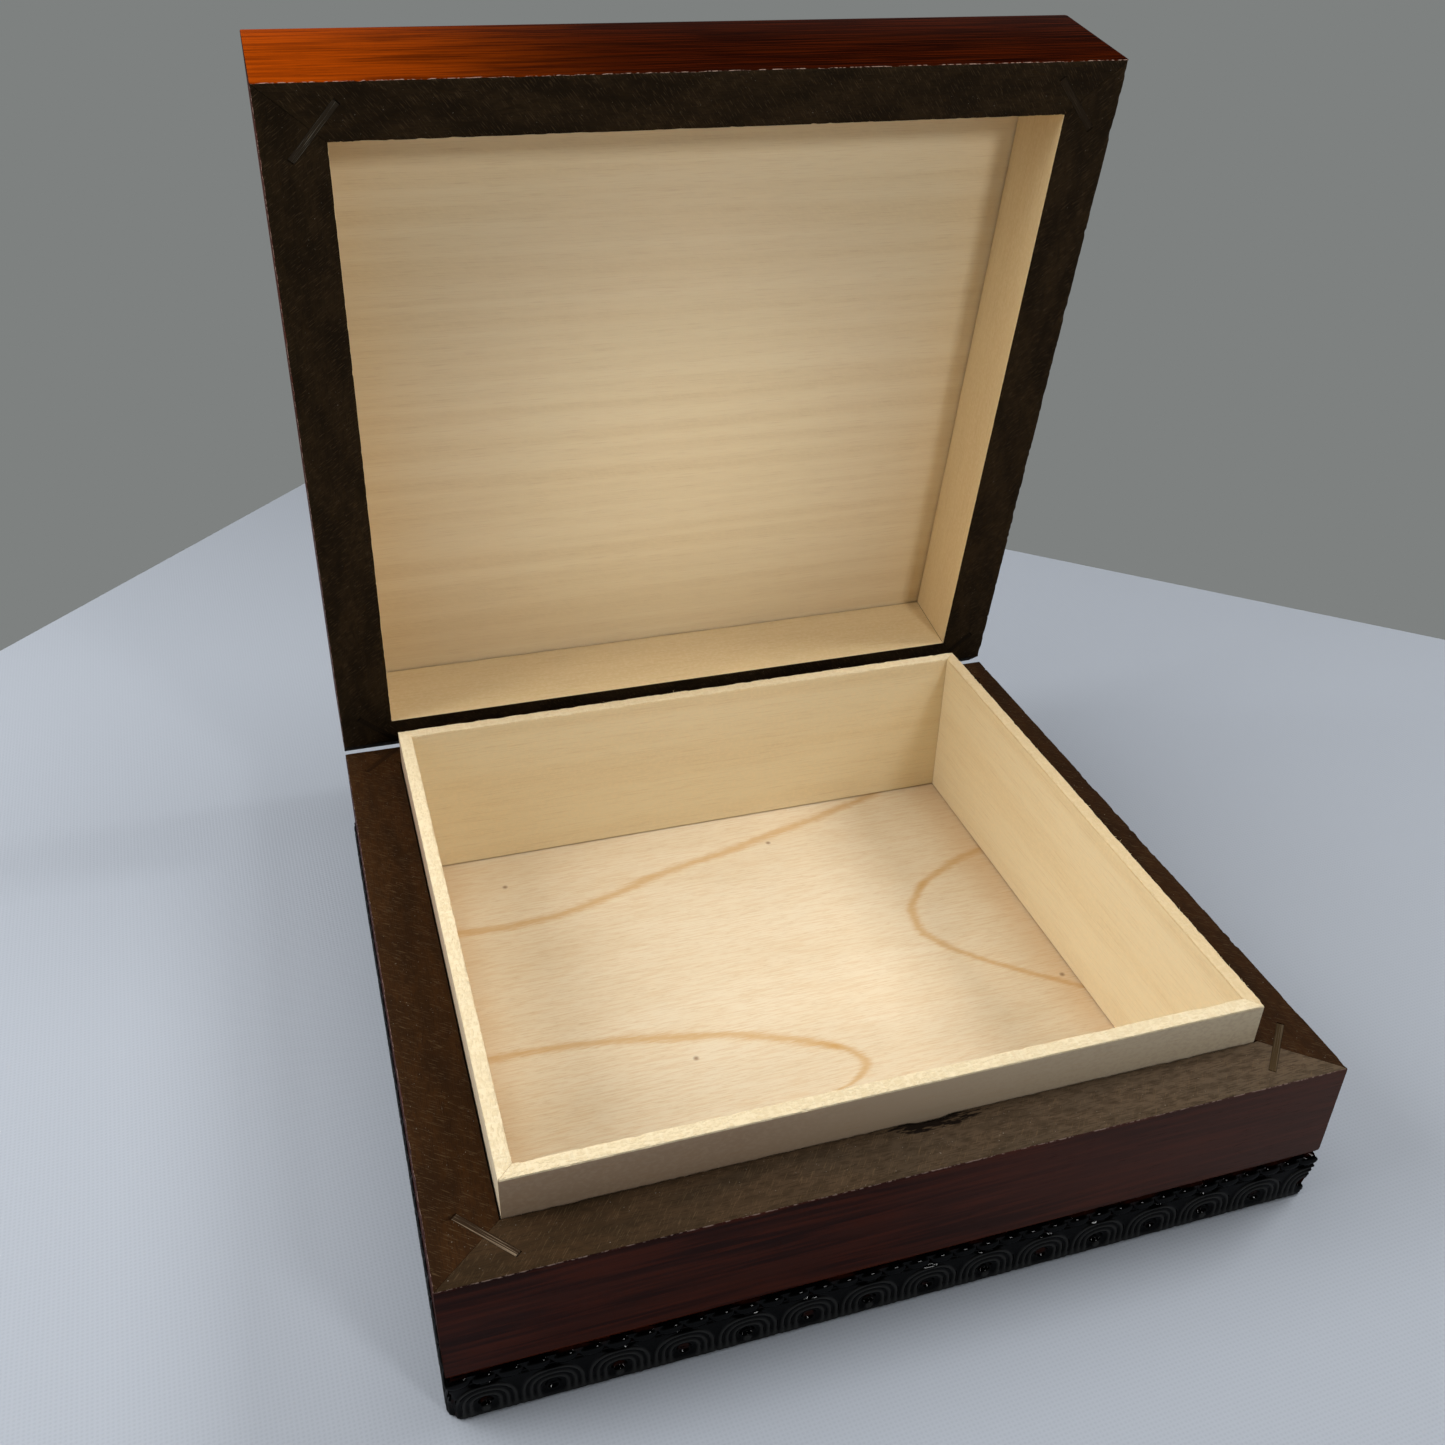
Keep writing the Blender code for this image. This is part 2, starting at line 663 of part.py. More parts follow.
def build_box():
    """Build the whole box with the lid open."""
    base = link_object("base", None, PARTS, Seat(None))
    lid = link_object("lid_hinge_axis", None, PARTS,
                      Seat(None, (0, AXIS_Y, AXIS_Z), (-LID_OPEN_ANGLE, 0, 0)))
    lid_plan = link_object("lid_plan", None, PARTS, Seat(lid, (0, -AXIS_Y, PARTING_GAP / 2)))
    base_seat = Seat(base, (0, AXIS_Y, AXIS_Z), (-BEVEL_ANGLE, 0, 0))
    lid_seat = Seat(lid, (0, 0, 0), (-BEVEL_ANGLE, 2 * QUARTER_TURN, 0))
    build_base(base, base_seat)
    build_lid(lid_plan, lid_seat)
    build_hinges(base_seat, lid_seat)


clear_scene()
PARTS = new_collection("wooden_keepsake_box")
CUTTERS = new_collection("cutters")
build_box()
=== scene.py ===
"""Looks of the wooden keepsake box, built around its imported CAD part.

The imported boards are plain. Here each one is swept again along its own length with eased and
chipped edges, the moulding gets its carving, the lining its sawn fibres, and every surface the
finish of the real box. Lengths are in metres, and MM turns a size in millimetres to metres. The
masks of the finishes are in millimetres throughout. A board's own axes are X along its length, Y in
from its outer face and Z up when the lid is shut.
"""

from __future__ import annotations

import json
import logging
import math
from dataclasses import dataclass, field
from enum import Enum, IntEnum
from functools import cache
from typing import Callable, Iterable, Iterator, Mapping, NamedTuple

import bmesh
import bpy
import numpy as np
from mathutils import Matrix, Vector

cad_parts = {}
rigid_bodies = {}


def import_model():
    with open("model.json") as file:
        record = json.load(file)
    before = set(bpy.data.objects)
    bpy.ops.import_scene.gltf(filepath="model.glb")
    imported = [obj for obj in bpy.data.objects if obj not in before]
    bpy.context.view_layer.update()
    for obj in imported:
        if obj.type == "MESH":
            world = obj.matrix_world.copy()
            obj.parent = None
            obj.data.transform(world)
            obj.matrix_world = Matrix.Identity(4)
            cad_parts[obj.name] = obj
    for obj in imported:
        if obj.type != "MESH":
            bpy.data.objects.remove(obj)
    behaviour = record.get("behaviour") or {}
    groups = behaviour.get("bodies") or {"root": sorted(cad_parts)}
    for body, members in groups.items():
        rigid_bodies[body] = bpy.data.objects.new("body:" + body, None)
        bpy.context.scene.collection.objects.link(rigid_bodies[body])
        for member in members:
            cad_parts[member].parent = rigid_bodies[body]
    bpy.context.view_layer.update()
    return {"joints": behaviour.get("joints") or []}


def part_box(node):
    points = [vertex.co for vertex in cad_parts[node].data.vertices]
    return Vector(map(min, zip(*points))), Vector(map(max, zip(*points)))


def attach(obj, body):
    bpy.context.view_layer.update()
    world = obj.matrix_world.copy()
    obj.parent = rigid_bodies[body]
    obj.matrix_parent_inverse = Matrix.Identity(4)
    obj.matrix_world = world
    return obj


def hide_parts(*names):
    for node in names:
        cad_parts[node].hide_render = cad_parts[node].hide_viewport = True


LOG = logging.getLogger("keepsake_box")

MM = 0.001

# Corners closer together than WELD are one, and those within ON_PLANE of a plane lie in it
WELD = 0.002 * MM
ON_PLANE = 0.01 * MM

# Angle between faces, in degrees, from which an edge is sharp
SHARP = 35.0

# Sockets of the Mix node when it mixes colours
MIX_A = 6
MIX_B = 7
MIX_RESULT = 2

# Length of one wave of the Wave node when its scale is 1
WAVE_LENGTH = 0.314

Socket = bpy.types.NodeSocket


def linear(hex_colour: str) -> tuple[float, float, float, float]:
    """Turn an sRGB hex colour to linear light.

    Args:
        hex_colour: Six hex digits after a hash sign.

    Returns:
        Red, green, blue and an alpha of 1.
    """
    shares = [int(hex_colour[start:start + 2], 16) / 255 for start in (1, 3, 5)]
    channels = [share / 12.92 if share <= 0.04045 else ((share + 0.055) / 1.055) ** 2.4 for share in shares]
    return (*channels, 1.0)


class Layer(NamedTuple):
    """A hex colour laid over those under it, with its cover where its mask is 1."""

    colour: str
    share: float
    mask: Mask


@dataclass(frozen=True)
class Wiring:
    """The nodes of one tree. A mask is wired once, however many layers share it."""

    tree: bpy.types.NodeTree
    wired: dict[Mask, Socket] = field(default_factory=dict)

    def add(self, kind: str, settings: Mapping | None = None, links: Mapping | None = None,
            **properties: object) -> bpy.types.Node:
        """Add a shader node with its settings and links.

        Args:
            kind: Blender's name of the node's type, without its ShaderNode prefix.
            settings: Value of each input, by the input's name or number.
            links: Output socket that feeds each input, by the input's name or number.
            **properties: Values of the node's own properties.

        Returns:
            The new node.
        """
        node = self.tree.nodes.new("ShaderNode" + kind)
        for name, value in properties.items():
            setattr(node, name, value)
        for key, value in (settings or {}).items():
            node.inputs[key].default_value = value
        for key, socket in (links or {}).items():
            self.tree.links.new(socket, node.inputs[key])
        return node

    def place(self, axis: str = "") -> Socket:
        """Give the place in the board's own axes, in metres, or its share of one axis."""
        place = self.add("TexCoord").outputs["Object"]
        return self.add("SeparateXYZ", links={0: place}).outputs[axis] if axis else place

    def maths(self, operation: str, *terms: Socket | float) -> Socket:
        """Work out one step of arithmetic.

        Args:
            operation: Blender's name of the operation.
            *terms: Sockets or numbers that it works on.

        Returns:
            Value socket of the result.
        """
        numbers = {key: term for key, term in enumerate(terms) if isinstance(term, (int, float))}
        sockets = {key: term for key, term in enumerate(terms) if key not in numbers}
        return self.add("Math", numbers, sockets, operation=operation).outputs["Value"]

    def ramp(self, value: Socket, low: float, high: float, blend: str = "LINEAR") -> Socket:
        """Turn a value to a mask that is 0 at low and 1 at high, which may be the smaller one."""
        return self.add("MapRange", {"From Min": low, "From Max": high}, {"Value": value},
                        interpolation_type=blend).outputs["Result"]

    def mask(self, mask: Mask) -> Socket:
        """Wire a mask, or find it where it is wired already."""
        if mask not in self.wired:
            self.wired[mask] = mask.wire(self)
        return self.wired[mask]

    def tinted(self, base: Socket | str, layer: Layer) -> Socket:
        """Lay a layer over a colour.

        Args:
            base: Colour underneath, as a socket or a hex colour.
            layer: Layer on top.

        Returns:
            Colour socket of the result.
        """
        settings = {MIX_B: linear(layer.colour)}
        links = {0: self.maths("MULTIPLY", self.mask(layer.mask), layer.share)}
        if isinstance(base, str):
            settings[MIX_A] = linear(base)
        else:
            links[MIX_A] = base
        return self.add("Mix", settings, links, data_type="RGBA").outputs[MIX_RESULT]


@dataclass(frozen=True)
class Mask:
    """A pattern of values from 0 to 1 on a surface, with its sizes in millimetres."""

    def wire(self, wiring: Wiring) -> Socket:
        """Wire the pattern.

        Args:
            wiring: Nodes of the material.

        Returns:
            Value socket of the mask.
        """
        raise NotImplementedError


@dataclass(frozen=True)
class Streaks(Mask):
    """Noise drawn out along the grain.

    Attributes:
        along: Length of a streak.
        across: Width of a streak.
        low: Noise value that gives 0.
        high: Noise value that gives 1.
        turn: Angle of the streaks from the board's length, in degrees.
        detail: Octaves of the noise.
        wander: How far the streaks wander from straight lines.
    """

    along: float
    across: float
    low: float = 0.0
    high: float = 1.0
    turn: float = 0.0
    detail: float = 3.0
    wander: float = 0.0

    def noise(self, wiring: Wiring) -> Socket:
        """Wire the noise alone, before low and high.

        Args:
            wiring: Nodes of the material.

        Returns:
            Value socket of the noise.
        """
        place = wiring.place()
        if self.turn:
            turned = {"Rotation": (0, 0, math.radians(-self.turn))}
            place = wiring.add("Mapping", turned, {"Vector": place}).outputs["Vector"]
        across = 1 / (self.across * MM)
        drawn = wiring.add("Mapping", {"Scale": (1 / (self.along * MM), across, across)}, {"Vector": place})
        return wiring.add("TexNoise", {"Scale": 1.0, "Detail": self.detail, "Distortion": self.wander},
                          {"Vector": drawn.outputs["Vector"]}).outputs["Fac"]

    def wire(self, wiring: Wiring) -> Socket:
        """Wire the noise, cut down to low and high."""
        return wiring.ramp(self.noise(wiring), self.low, self.high, "SMOOTHSTEP")


@dataclass(frozen=True)
class Along(Mask):
    """A change along one of the board's axes, or with the distance from one place on it.

    Attributes:
        axis: Name of the axis.
        start: Where the mask is 0.
        end: Where the mask is 1.
        middle: Place that start and end are distances from, if any.
        blend: Blender's name of the change between them.
    """

    axis: str
    start: float
    end: float
    middle: float | None = None
    blend: str = "LINEAR"

    def wire(self, wiring: Wiring) -> Socket:
        """Wire the place or the distance, and the change."""
        value = wiring.place(self.axis)
        if self.middle is not None:
            value = wiring.maths("ABSOLUTE", wiring.maths("SUBTRACT", value, self.middle * MM))
        return wiring.ramp(value, self.start * MM, self.end * MM, self.blend)


@dataclass(frozen=True)
class Both(Mask):
    """Where two masks lie over each other."""

    first: Mask
    second: Mask

    def wire(self, wiring: Wiring) -> Socket:
        """Wire the product of the two."""
        return wiring.maths("MULTIPLY", wiring.mask(self.first), wiring.mask(self.second))


@dataclass(frozen=True)
class Sapwood(Mask):
    """A painted sheen at one end of a board, from start to end, whose border wavers with the streaks."""

    start: float
    end: float
    streaks: Streaks
    waver: float = 24.0

    def wire(self, wiring: Wiring) -> Socket:
        """Wire the wavering change."""
        waver = wiring.maths("MULTIPLY", wiring.mask(self.streaks), self.waver * MM)
        place = wiring.maths("ADD", wiring.place("X"), waver)
        return wiring.ramp(place, self.start * MM, self.end * MM, "SMOOTHERSTEP")


@dataclass(frozen=True)
class TornSpot(Mask):
    """A splintered spot at (x, y) where the skin tore out, from its core to its outer edge."""

    x: float
    y: float
    length: float = 7.5
    width: float = 1.7
    outer: float = 1.55
    core: float = 1.3
    splinters: Streaks = Streaks(2.6, 0.4, 0.3, 0.7)

    def wire(self, wiring: Wiring) -> Socket:
        """Wire the distance from the middle, in spot sizes, frayed by the splinters."""
        settings = {1: (1 / (self.length * MM), 1 / (self.width * MM), 0),
                    2: (-self.x / self.length, -self.y / self.width, 0)}
        place = wiring.add("VectorMath", settings, {0: wiring.place()}, operation="MULTIPLY_ADD")
        away = wiring.add("VectorMath", links={0: place.outputs["Vector"]}, operation="LENGTH")
        frayed = wiring.maths("ADD", away.outputs["Value"], wiring.mask(self.splinters))
        return wiring.ramp(frayed, self.outer, self.core)


@dataclass(frozen=True)
class Fleck(Mask):
    """A small round mark at (x, y, z)."""

    x: float
    y: float
    z: float
    edge: float = 0.8
    core: float = 0.2

    def wire(self, wiring: Wiring) -> Socket:
        """Wire the distance from the mark's middle."""
        middle = tuple(value * MM for value in (self.x, self.y, self.z))
        away = wiring.add("VectorMath", {1: middle}, {0: wiring.place()}, operation="DISTANCE")
        return wiring.ramp(away.outputs["Value"], self.edge * MM, self.core * MM)


@dataclass(frozen=True)
class Ragged(Mask):
    """Noise around 1 that makes a line wander widely and gives it fine teeth."""

    wide: Streaks = Streaks(20, 6, detail=2)
    teeth: Streaks = Streaks(2.4, 0.35)

    def wire(self, wiring: Wiring) -> Socket:
        """Wire the sum of both noises."""
        return wiring.maths("ADD", self.wide.noise(wiring), self.teeth.noise(wiring))


@dataclass(frozen=True)
class GrowthLine(Mask):
    """One growth line of the rotary-cut birch: a smooth curve in the panel's plane.

    Attributes:
        knots: Points of the curve as (x, y), in rising order along its run.
        lying: Whether the curve runs along Y rather than along X.
        width: Half the width of the line.
        reach: Half the width of the square that holds all curves.
        end_fade: Length over which the line fades at its ends.
        swing: How far the ragged noise moves the line.
    """

    knots: tuple[tuple[float, float], ...]
    lying: bool = False
    width: float = 2.2
    reach: float = 72.0
    end_fade: float = 3.0
    swing: float = 2.5
    ragged: Ragged = Ragged()

    def wire(self, wiring: Wiring) -> Socket:
        """Wire the distance from the curve and the faded ends."""
        run, rise = (wiring.place(axis) for axis in ("YX" if self.lying else "XY"))
        shares = [[(value / self.reach + 1) / 2 for value in (knot[::-1] if self.lying else knot)]
                  for knot in self.knots]
        reach = self.reach * MM
        curve = wiring.add("FloatCurve", links={"Value": wiring.ramp(run, -reach, reach)})
        points = curve.mapping.curves[0].points
        points[0].location, points[1].location = shares[0], shares[-1]
        for knot in shares[1:-1]:
            points.new(*knot)
        curve.mapping.update()
        height = wiring.add("MapRange", {"To Min": -reach, "To Max": reach},
                            {"Value": curve.outputs["Value"]}).outputs["Result"]
        miss = wiring.maths("SUBTRACT", rise, height)
        swing = self.swing * MM
        shift = wiring.maths("MULTIPLY_ADD", wiring.mask(self.ragged), swing, -swing)
        apart = wiring.maths("ABSOLUTE", wiring.maths("ADD", miss, shift))
        mask = wiring.ramp(apart, self.width * MM, 0.0, "SMOOTHSTEP")
        for knot, fade in ((self.knots[0], -self.end_fade), (self.knots[-1], self.end_fade)):
            end = knot[1 if self.lying else 0]
            mask = wiring.maths("MULTIPLY", mask, wiring.ramp(run, (end + fade) * MM, end * MM))
        return mask


@dataclass(frozen=True)
class Weave(Mask):
    """Two sets of threads that cross on the slant, each with the same pitch."""

    pitch: float = 0.8
    slants: tuple[float, float] = (45, -45)

    def wire(self, wiring: Wiring) -> Socket:
        """Wire the product of both sets."""
        sets = []
        for slant in self.slants:
            turned = wiring.add("Mapping", {"Rotation": (0, 0, math.radians(slant))},
                                {"Vector": wiring.place()}).outputs["Vector"]
            scale = {"Scale": WAVE_LENGTH / (self.pitch * MM)}
            sets.append(wiring.add("TexWave", scale, {"Vector": turned}).outputs["Fac"])
        return wiring.maths("MULTIPLY", *sets)


@dataclass(frozen=True)
class Finish:
    """A surface finish: what one kind of material is and how its surface was made.

    Attributes:
        tone: Hex colour under all layers.
        relief: Mask that is also raised as fine relief.
        height: Height of the relief in millimetres, below 0 where the mask is sunk.
        strength: Share of the relief that shows.
    """

    name: str
    slot: str
    tone: str
    roughness: float = 0.5
    ior: float = 1.5
    specular: float = 0.5
    metallic: float = 0.0
    coat: float = 0.0
    coat_roughness: float = 0.05
    relief: Mask | None = None
    height: float = 0.0
    strength: float = 0.5

    def layers(self) -> Iterable[Layer]:
        """Give the layers over the tone, from the lowest to the highest."""
        return ()

    def wire(self, wiring: Wiring, shader: bpy.types.Node) -> None:
        """Wire the layers and the relief into the shader.

        Args:
            wiring: Nodes of the material.
            shader: Principled shader of the material.
        """
        colour = self.tone
        for layer in self.layers():
            colour = wiring.tinted(colour, layer)
        bump = wiring.add("Bump", {"Distance": self.height * MM, "Strength": self.strength},
                          {"Height": wiring.mask(self.relief)})
        wiring.tree.links.new(colour, shader.inputs["Base Color"])
        wiring.tree.links.new(bump.outputs["Normal"], shader.inputs["Normal"])


@cache
def material_of(finish: Finish) -> bpy.types.Material:
    """Build a finish's material once.

    Args:
        finish: Finish to build.

    Returns:
        The material, which pieces of that finish share.
    """
    material = bpy.data.materials.new(finish.name)
    material.use_nodes = True
    shader = material.node_tree.nodes["Principled BSDF"]
    settings = {
        "Roughness": finish.roughness,
        "IOR": finish.ior,
        "Specular IOR Level": finish.specular,
        "Metallic": finish.metallic,
        "Coat Weight": finish.coat,
        "Coat Roughness": finish.coat_roughness,
    }
    for socket, value in settings.items():
        shader.inputs[socket].default_value = value
    finish.wire(Wiring(material.node_tree), shader)
    return material


@dataclass(frozen=True)
class LacqueredMahogany(Finish):
    """Softwood in a red mahogany stain under clear gloss lacquer.

    The stain lies dark in the late wood and red in the early wood, so the streaks run along the
    board. At the sawn rim, at a given height in millimetres, the lacquer has broken away in small
    pale dashes. The soaked wood has nearly the lacquer's own index, so only the coat mirrors.
    """

    name: str = "lacquered_mahogany"
    slot: str = "mahogany_stain"
    tone: str = "#3A1910"
    specular: float = 0.0
    coat: float = 0.14
    coat_roughness: float = 0.10
    relief: Mask = Streaks(3.6, 0.16, 0.60, 0.72, detail=2)
    height: float = -0.02
    strength: float = 0.6
    dark: str = "#1E0B08"
    streaked: str = "#4E2012"
    streaks: Streaks = Streaks(22, 1.1, 0.42, 0.68, detail=4)
    rim: float = -1000.0

    def ends(self) -> Iterable[Layer]:
        """Give the layers that change one end of the board."""
        return ()

    def layers(self) -> Iterable[Layer]:
        """Lay on the streaks, the board's ends, the pores and the chipped edge."""
        chips = Both(Along("Z", 0.34, 0.16, middle=self.rim), Streaks(0.8, 0.6, 0.44, 0.60, detail=4))
        return (Layer(self.dark, 0.8, Streaks(60, 4.5, 0.38, 0.62, detail=2, wander=0.3)),
                Layer(self.streaked, 0.65, self.streaks), *self.ends(),
                Layer("#1C0805", 0.5, self.relief), Layer("#AE9486", 0.7, chips))


@dataclass(frozen=True)
class DulledMahogany(LacqueredMahogany):
    """The same lacquer on a board whose right end carries a painted greyish sheen, in place of reflected
    light.
    """

    def ends(self) -> Iterable[Layer]:
        """Lay on the painted sheen at the right end."""
        # Painted sheen: the right end turns greyer and paler, standing in for the cloth's reflection and
        # light from the right.
        return (Layer("#5E4740", 0.55, Along("X", -10, 90)),)


@dataclass(frozen=True)
class SapwoodMahogany(LacqueredMahogany):
    """The same lacquer on a board, of a given length in millimetres, with a painted orange sheen at its
    left end.
    """

    name: str = "lacquered_mahogany_sapwood"
    tone: str = "#1F0702"
    dark: str = "#100301"
    streaked: str = "#320F02"
    length: float = 0.0

    def ends(self) -> Iterable[Layer]:
        """Lay on the painted orange sheen and thin lines of late wood."""
        # Painted sheen: the bright orange left end stands in for light glancing off the lid's front edge.
        return (Layer("#A54204", 0.95, Sapwood(0.02 * self.length, -0.62 * self.length, self.streaks)),
                Layer("#4A1602", 0.5, Streaks(34, 0.45, 0.46, 0.62)))


@dataclass(frozen=True)
class SandedStain(Finish):
    """The rims: sawn, sanded across the mitres and wiped with a matt dark brown stain.

    The stain took unevenly, so each board has its own tone. The sanding leaves short light
    scratches along the board and on the slant, and dust sits in pores. A worn rim has a torn spot,
    and its right end is painted paler, which stands in for light from the right.
    """

    name: str = "sanded_brown_stain"
    slot: str = "mahogany_stain"
    tone: str = "#2C1E11"
    roughness: float = 0.8
    specular: float = 0.05
    relief: Mask = Streaks(2.4, 0.24, 0.48, 0.66)
    height: float = 0.05
    strength: float = 0.6
    dark: str = "#20150B"
    # A worn rim has a real torn spot and a painted paler right end, which stands in for light from the
    # right.
    worn: bool = False

    def layers(self) -> Iterable[Layer]:
        """Lay on blotches, the painted paler end, mottling, fibres, slanted scratches, dust and the torn
        spot.
        """
        # Painted light: the rim is paler towards its right end, where light from the right falls.
        painted_paler_end = Layer("#6E5E4C", 0.6, Along("X", -60, 85))
        torn = Layer("#0C0705", 0.92, TornSpot(4.7, 9.9))
        return (Layer(self.dark, 0.8, Streaks(14, 6, 0.38, 0.66, detail=2)),
                *([painted_paler_end] if self.worn else []),
                Layer(self.dark, 0.36, Streaks(2.4, 1.1, 0.44, 0.62, detail=4)),
                Layer(self.dark, 0.5, self.relief),
                Layer("#66523A", 0.38, Streaks(2.2, 0.16, 0.57, 0.70, turn=52, detail=2)),
                Layer("#A39A8C", 0.6, Streaks(0.35, 0.30, 0.75, 0.82, detail=1)),
                *([torn] if self.worn else []))


@dataclass(frozen=True)
class SandedLimewood(Finish):
    """Bare limewood, planed and sanded: creamy, with a faint fleck and hardly any grain line.

    Its growth bands have a given width and cover, and its right end can be painted paler, which stands in
    for light from the right.
    """

    name: str = "sanded_limewood"
    slot: str = "limewood"
    tone: str = "#E8D8B4"
    roughness: float = 0.62
    specular: float = 0.3
    relief: Mask = Streaks(7, 0.16, 0.50, 0.74)
    height: float = -0.03
    banded: str = "#D6B885"
    flecked: str = "#F0DAB2"
    cleaner: str = ""
    band: float = 7.0
    band_share: float = 0.26

    def layers(self) -> Iterable[Layer]:
        """Lay on growth bands, a painted paler end where one is given, flecks and fibres."""
        # Painted light: the given paler right end stands in for light from the right.
        return (Layer(self.banded, self.band_share, Streaks(160, self.band, 0.35, 0.68, wander=0.2)),
                *([Layer(self.cleaner, 0.95, Along("X", -30, 70))] if self.cleaner else []),
                Layer(self.flecked, 0.35, Streaks(1.7, 0.6, 0.42, 0.66, turn=35, detail=2)),
                Layer("#B98C55", 0.22, self.relief))


@dataclass(frozen=True)
class SawnLimewood(Finish):
    """The lining's top edges as the saw left them: torn pale fibres and cross cuts."""

    name: str = "sawn_limewood"
    slot: str = "limewood"
    tone: str = "#ECDAB5"
    roughness: float = 0.85
    specular: float = 0.2
    relief: Mask = Streaks(0.9, 0.45, 0.40, 0.66, detail=4)
    height: float = 0.12
    strength: float = 0.8
    cut: str = "#F6ECD2"

    def layers(self) -> Iterable[Layer]:
        """Lay on the torn fibres and the saw's cross cuts."""
        return (Layer("#D0B684", 0.3, self.relief),
                Layer(self.cut, 0.25, Streaks(0.35, 3.0, 0.48, 0.70, detail=2)))


@dataclass(frozen=True)
class BlackLacquer(Finish):
    """Carved moulding under thick gloss black lacquer, which has a fine orange peel.

    The arches' crests carry a painted grey highlight, and the hollows are worn red-brown.
    """

    name: str = "black_lacquer"
    slot: str = "black_lacquer"
    tone: str = "#020202"
    specular: float = 0.0
    coat: float = 0.2
    coat_roughness: float = 0.04
    relief: Mask = Streaks(0.9, 0.9, 0.3, 0.7, detail=2)
    height: float = 0.02

    def layers(self) -> Iterable[Layer]:
        """Lay on the painted highlight of the crests, which lie below the row of beads, and patches in the
        hollows.
        """
        # Painted highlight: the crests are greyed where the ridges would catch the light.
        painted_crest_highlight = Both(Along("Y", 0.32, 0.0, blend="SMOOTHSTEP"), Along("Z", 7.7, 7.315))
        hollows = Both(Along("Y", 0.72, 1.1), Streaks(5, 2.5, 0.45, 0.62, detail=2))
        return Layer("#2C2C2B", 0.9, painted_crest_highlight), Layer("#33150C", 0.8, hollows)


@dataclass(frozen=True)
class BirchPlywood(Finish):
    """Rotary-cut birch plywood, sanded and bare, with wide tan growth lines and short pores."""

    name: str = "birch_plywood"
    slot: str = "birch_plywood"
    tone: str = "#EADBBF"
    roughness: float = 0.6
    specular: float = 0.3
    relief: Mask = Streaks(2.2, 0.15, 0.56, 0.70, detail=2)
    height: float = -0.03
    lines: tuple[GrowthLine, ...] = ()
    flecks: tuple[Fleck, ...] = ()

    def layers(self) -> Iterable[Layer]:
        """Lay on cloudy figure, fibres, pores, growth lines, painted shade along the sides and brown
        flecks.
        """
        return (Layer("#DCC6A2", 0.26, Streaks(45, 9, 0.36, 0.66, wander=0.5)),
                Layer("#D6B080", 0.34, Streaks(5, 0.28, 0.42, 0.66)),
                Layer("#C39E6C", 0.3, self.relief),
                *(Layer("#CB9C56", 0.6, line) for line in self.lines),
                # Painted shade: the floor turns tan within 10 mm of its left and right sides, beside the
                # lining.
                Layer("#CFA06A", 0.3, Along("X", 56, 66, middle=0.0, blend="SMOOTHSTEP")),
                *(Layer("#7A5230", 0.7, fleck) for fleck in self.flecks))


@dataclass(frozen=True)
class StainedEndGrain(Finish):
    """The splines' sawn edges, stained with the rims but paler, with fine lines along them."""

    name: str = "stained_end_grain"
    slot: str = "spline_wood"
    tone: str = "#33261A"
    roughness: float = 0.8
    specular: float = 0.06
    relief: Mask = Streaks(9, 0.16, 0.54, 0.66, detail=1)
    height: float = 0.08
    strength: float = 0.8
    line: str = "#8A7862"

    def layers(self) -> Iterable[Layer]:
        """Lay on the fine lines."""
        return (Layer(self.line, 0.8, self.relief),)


@dataclass(frozen=True)
class DulledBrass(Finish):
    """Stamped hinge brass, dulled in the air: satin, with faint drawing lines."""

    name: str = "dulled_brass"
    slot: str = "hinge_brass"
    tone: str = "#C79A4B"
    roughness: float = 0.34
    metallic: float = 1.0
    relief: Mask = Streaks(6, 0.12, 0.45, 0.65, detail=2)
    height: float = 0.01

    def layers(self) -> Iterable[Layer]:
        """Lay on the tarnish."""
        return (Layer("#8A6A3A", 0.55, Streaks(4, 4, 0.40, 0.66)),)


@dataclass(frozen=True)
class PaleCloth(Finish):
    """Closely woven white polyester cloth, cool in tone."""

    name: str = "pale_cloth"
    slot: str = ""
    tone: str = "#ADB3BC"
    roughness: float = 0.9
    specular: float = 0.1
    relief: Mask = Weave()
    height: float = 0.05
    strength: float = 0.4

    def layers(self) -> Iterable[Layer]:
        """Lay on the weave."""
        return (Layer("#9299A3", 0.25, self.relief),)


@dataclass(frozen=True)
class TentWall(Finish):
    """The grey cloth of the light tent behind the floor, out of the lamps' reach.

    The camera and glossy surfaces see it in its own even grey, and it lights nothing.
    """

    name: str = "tent_wall_cloth"
    slot: str = ""
    tone: str = "#7E8180"
    roughness: float = 0.9
    specular: float = 0.1

    def wire(self, wiring: Wiring, shader: bpy.types.Node) -> None:
        """Show the grey to camera, glossy and transmission rays alone."""
        shader.inputs["Base Color"].default_value = linear(self.tone)
        path = wiring.add("LightPath").outputs
        seen = wiring.maths("ADD", path["Is Camera Ray"], path["Is Glossy Ray"])
        seen = wiring.maths("MINIMUM", wiring.maths("ADD", seen, path["Is Transmission Ray"]), 1.0)
        grey = wiring.add("Emission", {"Color": linear(self.tone)}).outputs["Emission"]
        mixed = wiring.add("MixShader", links={0: seen, 1: shader.outputs["BSDF"], 2: grey})
        surface = wiring.tree.nodes["Material Output"].inputs["Surface"]
        wiring.tree.links.new(mixed.outputs["Shader"], surface)


class Side(Enum):
    """A side of the box, by its quarter turns from the front."""

    FRONT = 0
    RIGHT = 1
    BACK = 2
    LEFT = 3

    @property
    def label(self) -> str:
        """The side's name as the CAD nodes spell it."""
        return self.name.lower()

    @property
    def turn(self) -> Matrix:
        """Turn from the front to this side."""
        return Matrix.Rotation(self.value * math.pi / 2, 4, "Z")


class WallSlot(IntEnum):
    """Material number of each surface of a frame board."""

    RIM = 0
    LACQUER = 1
    BARE = 2


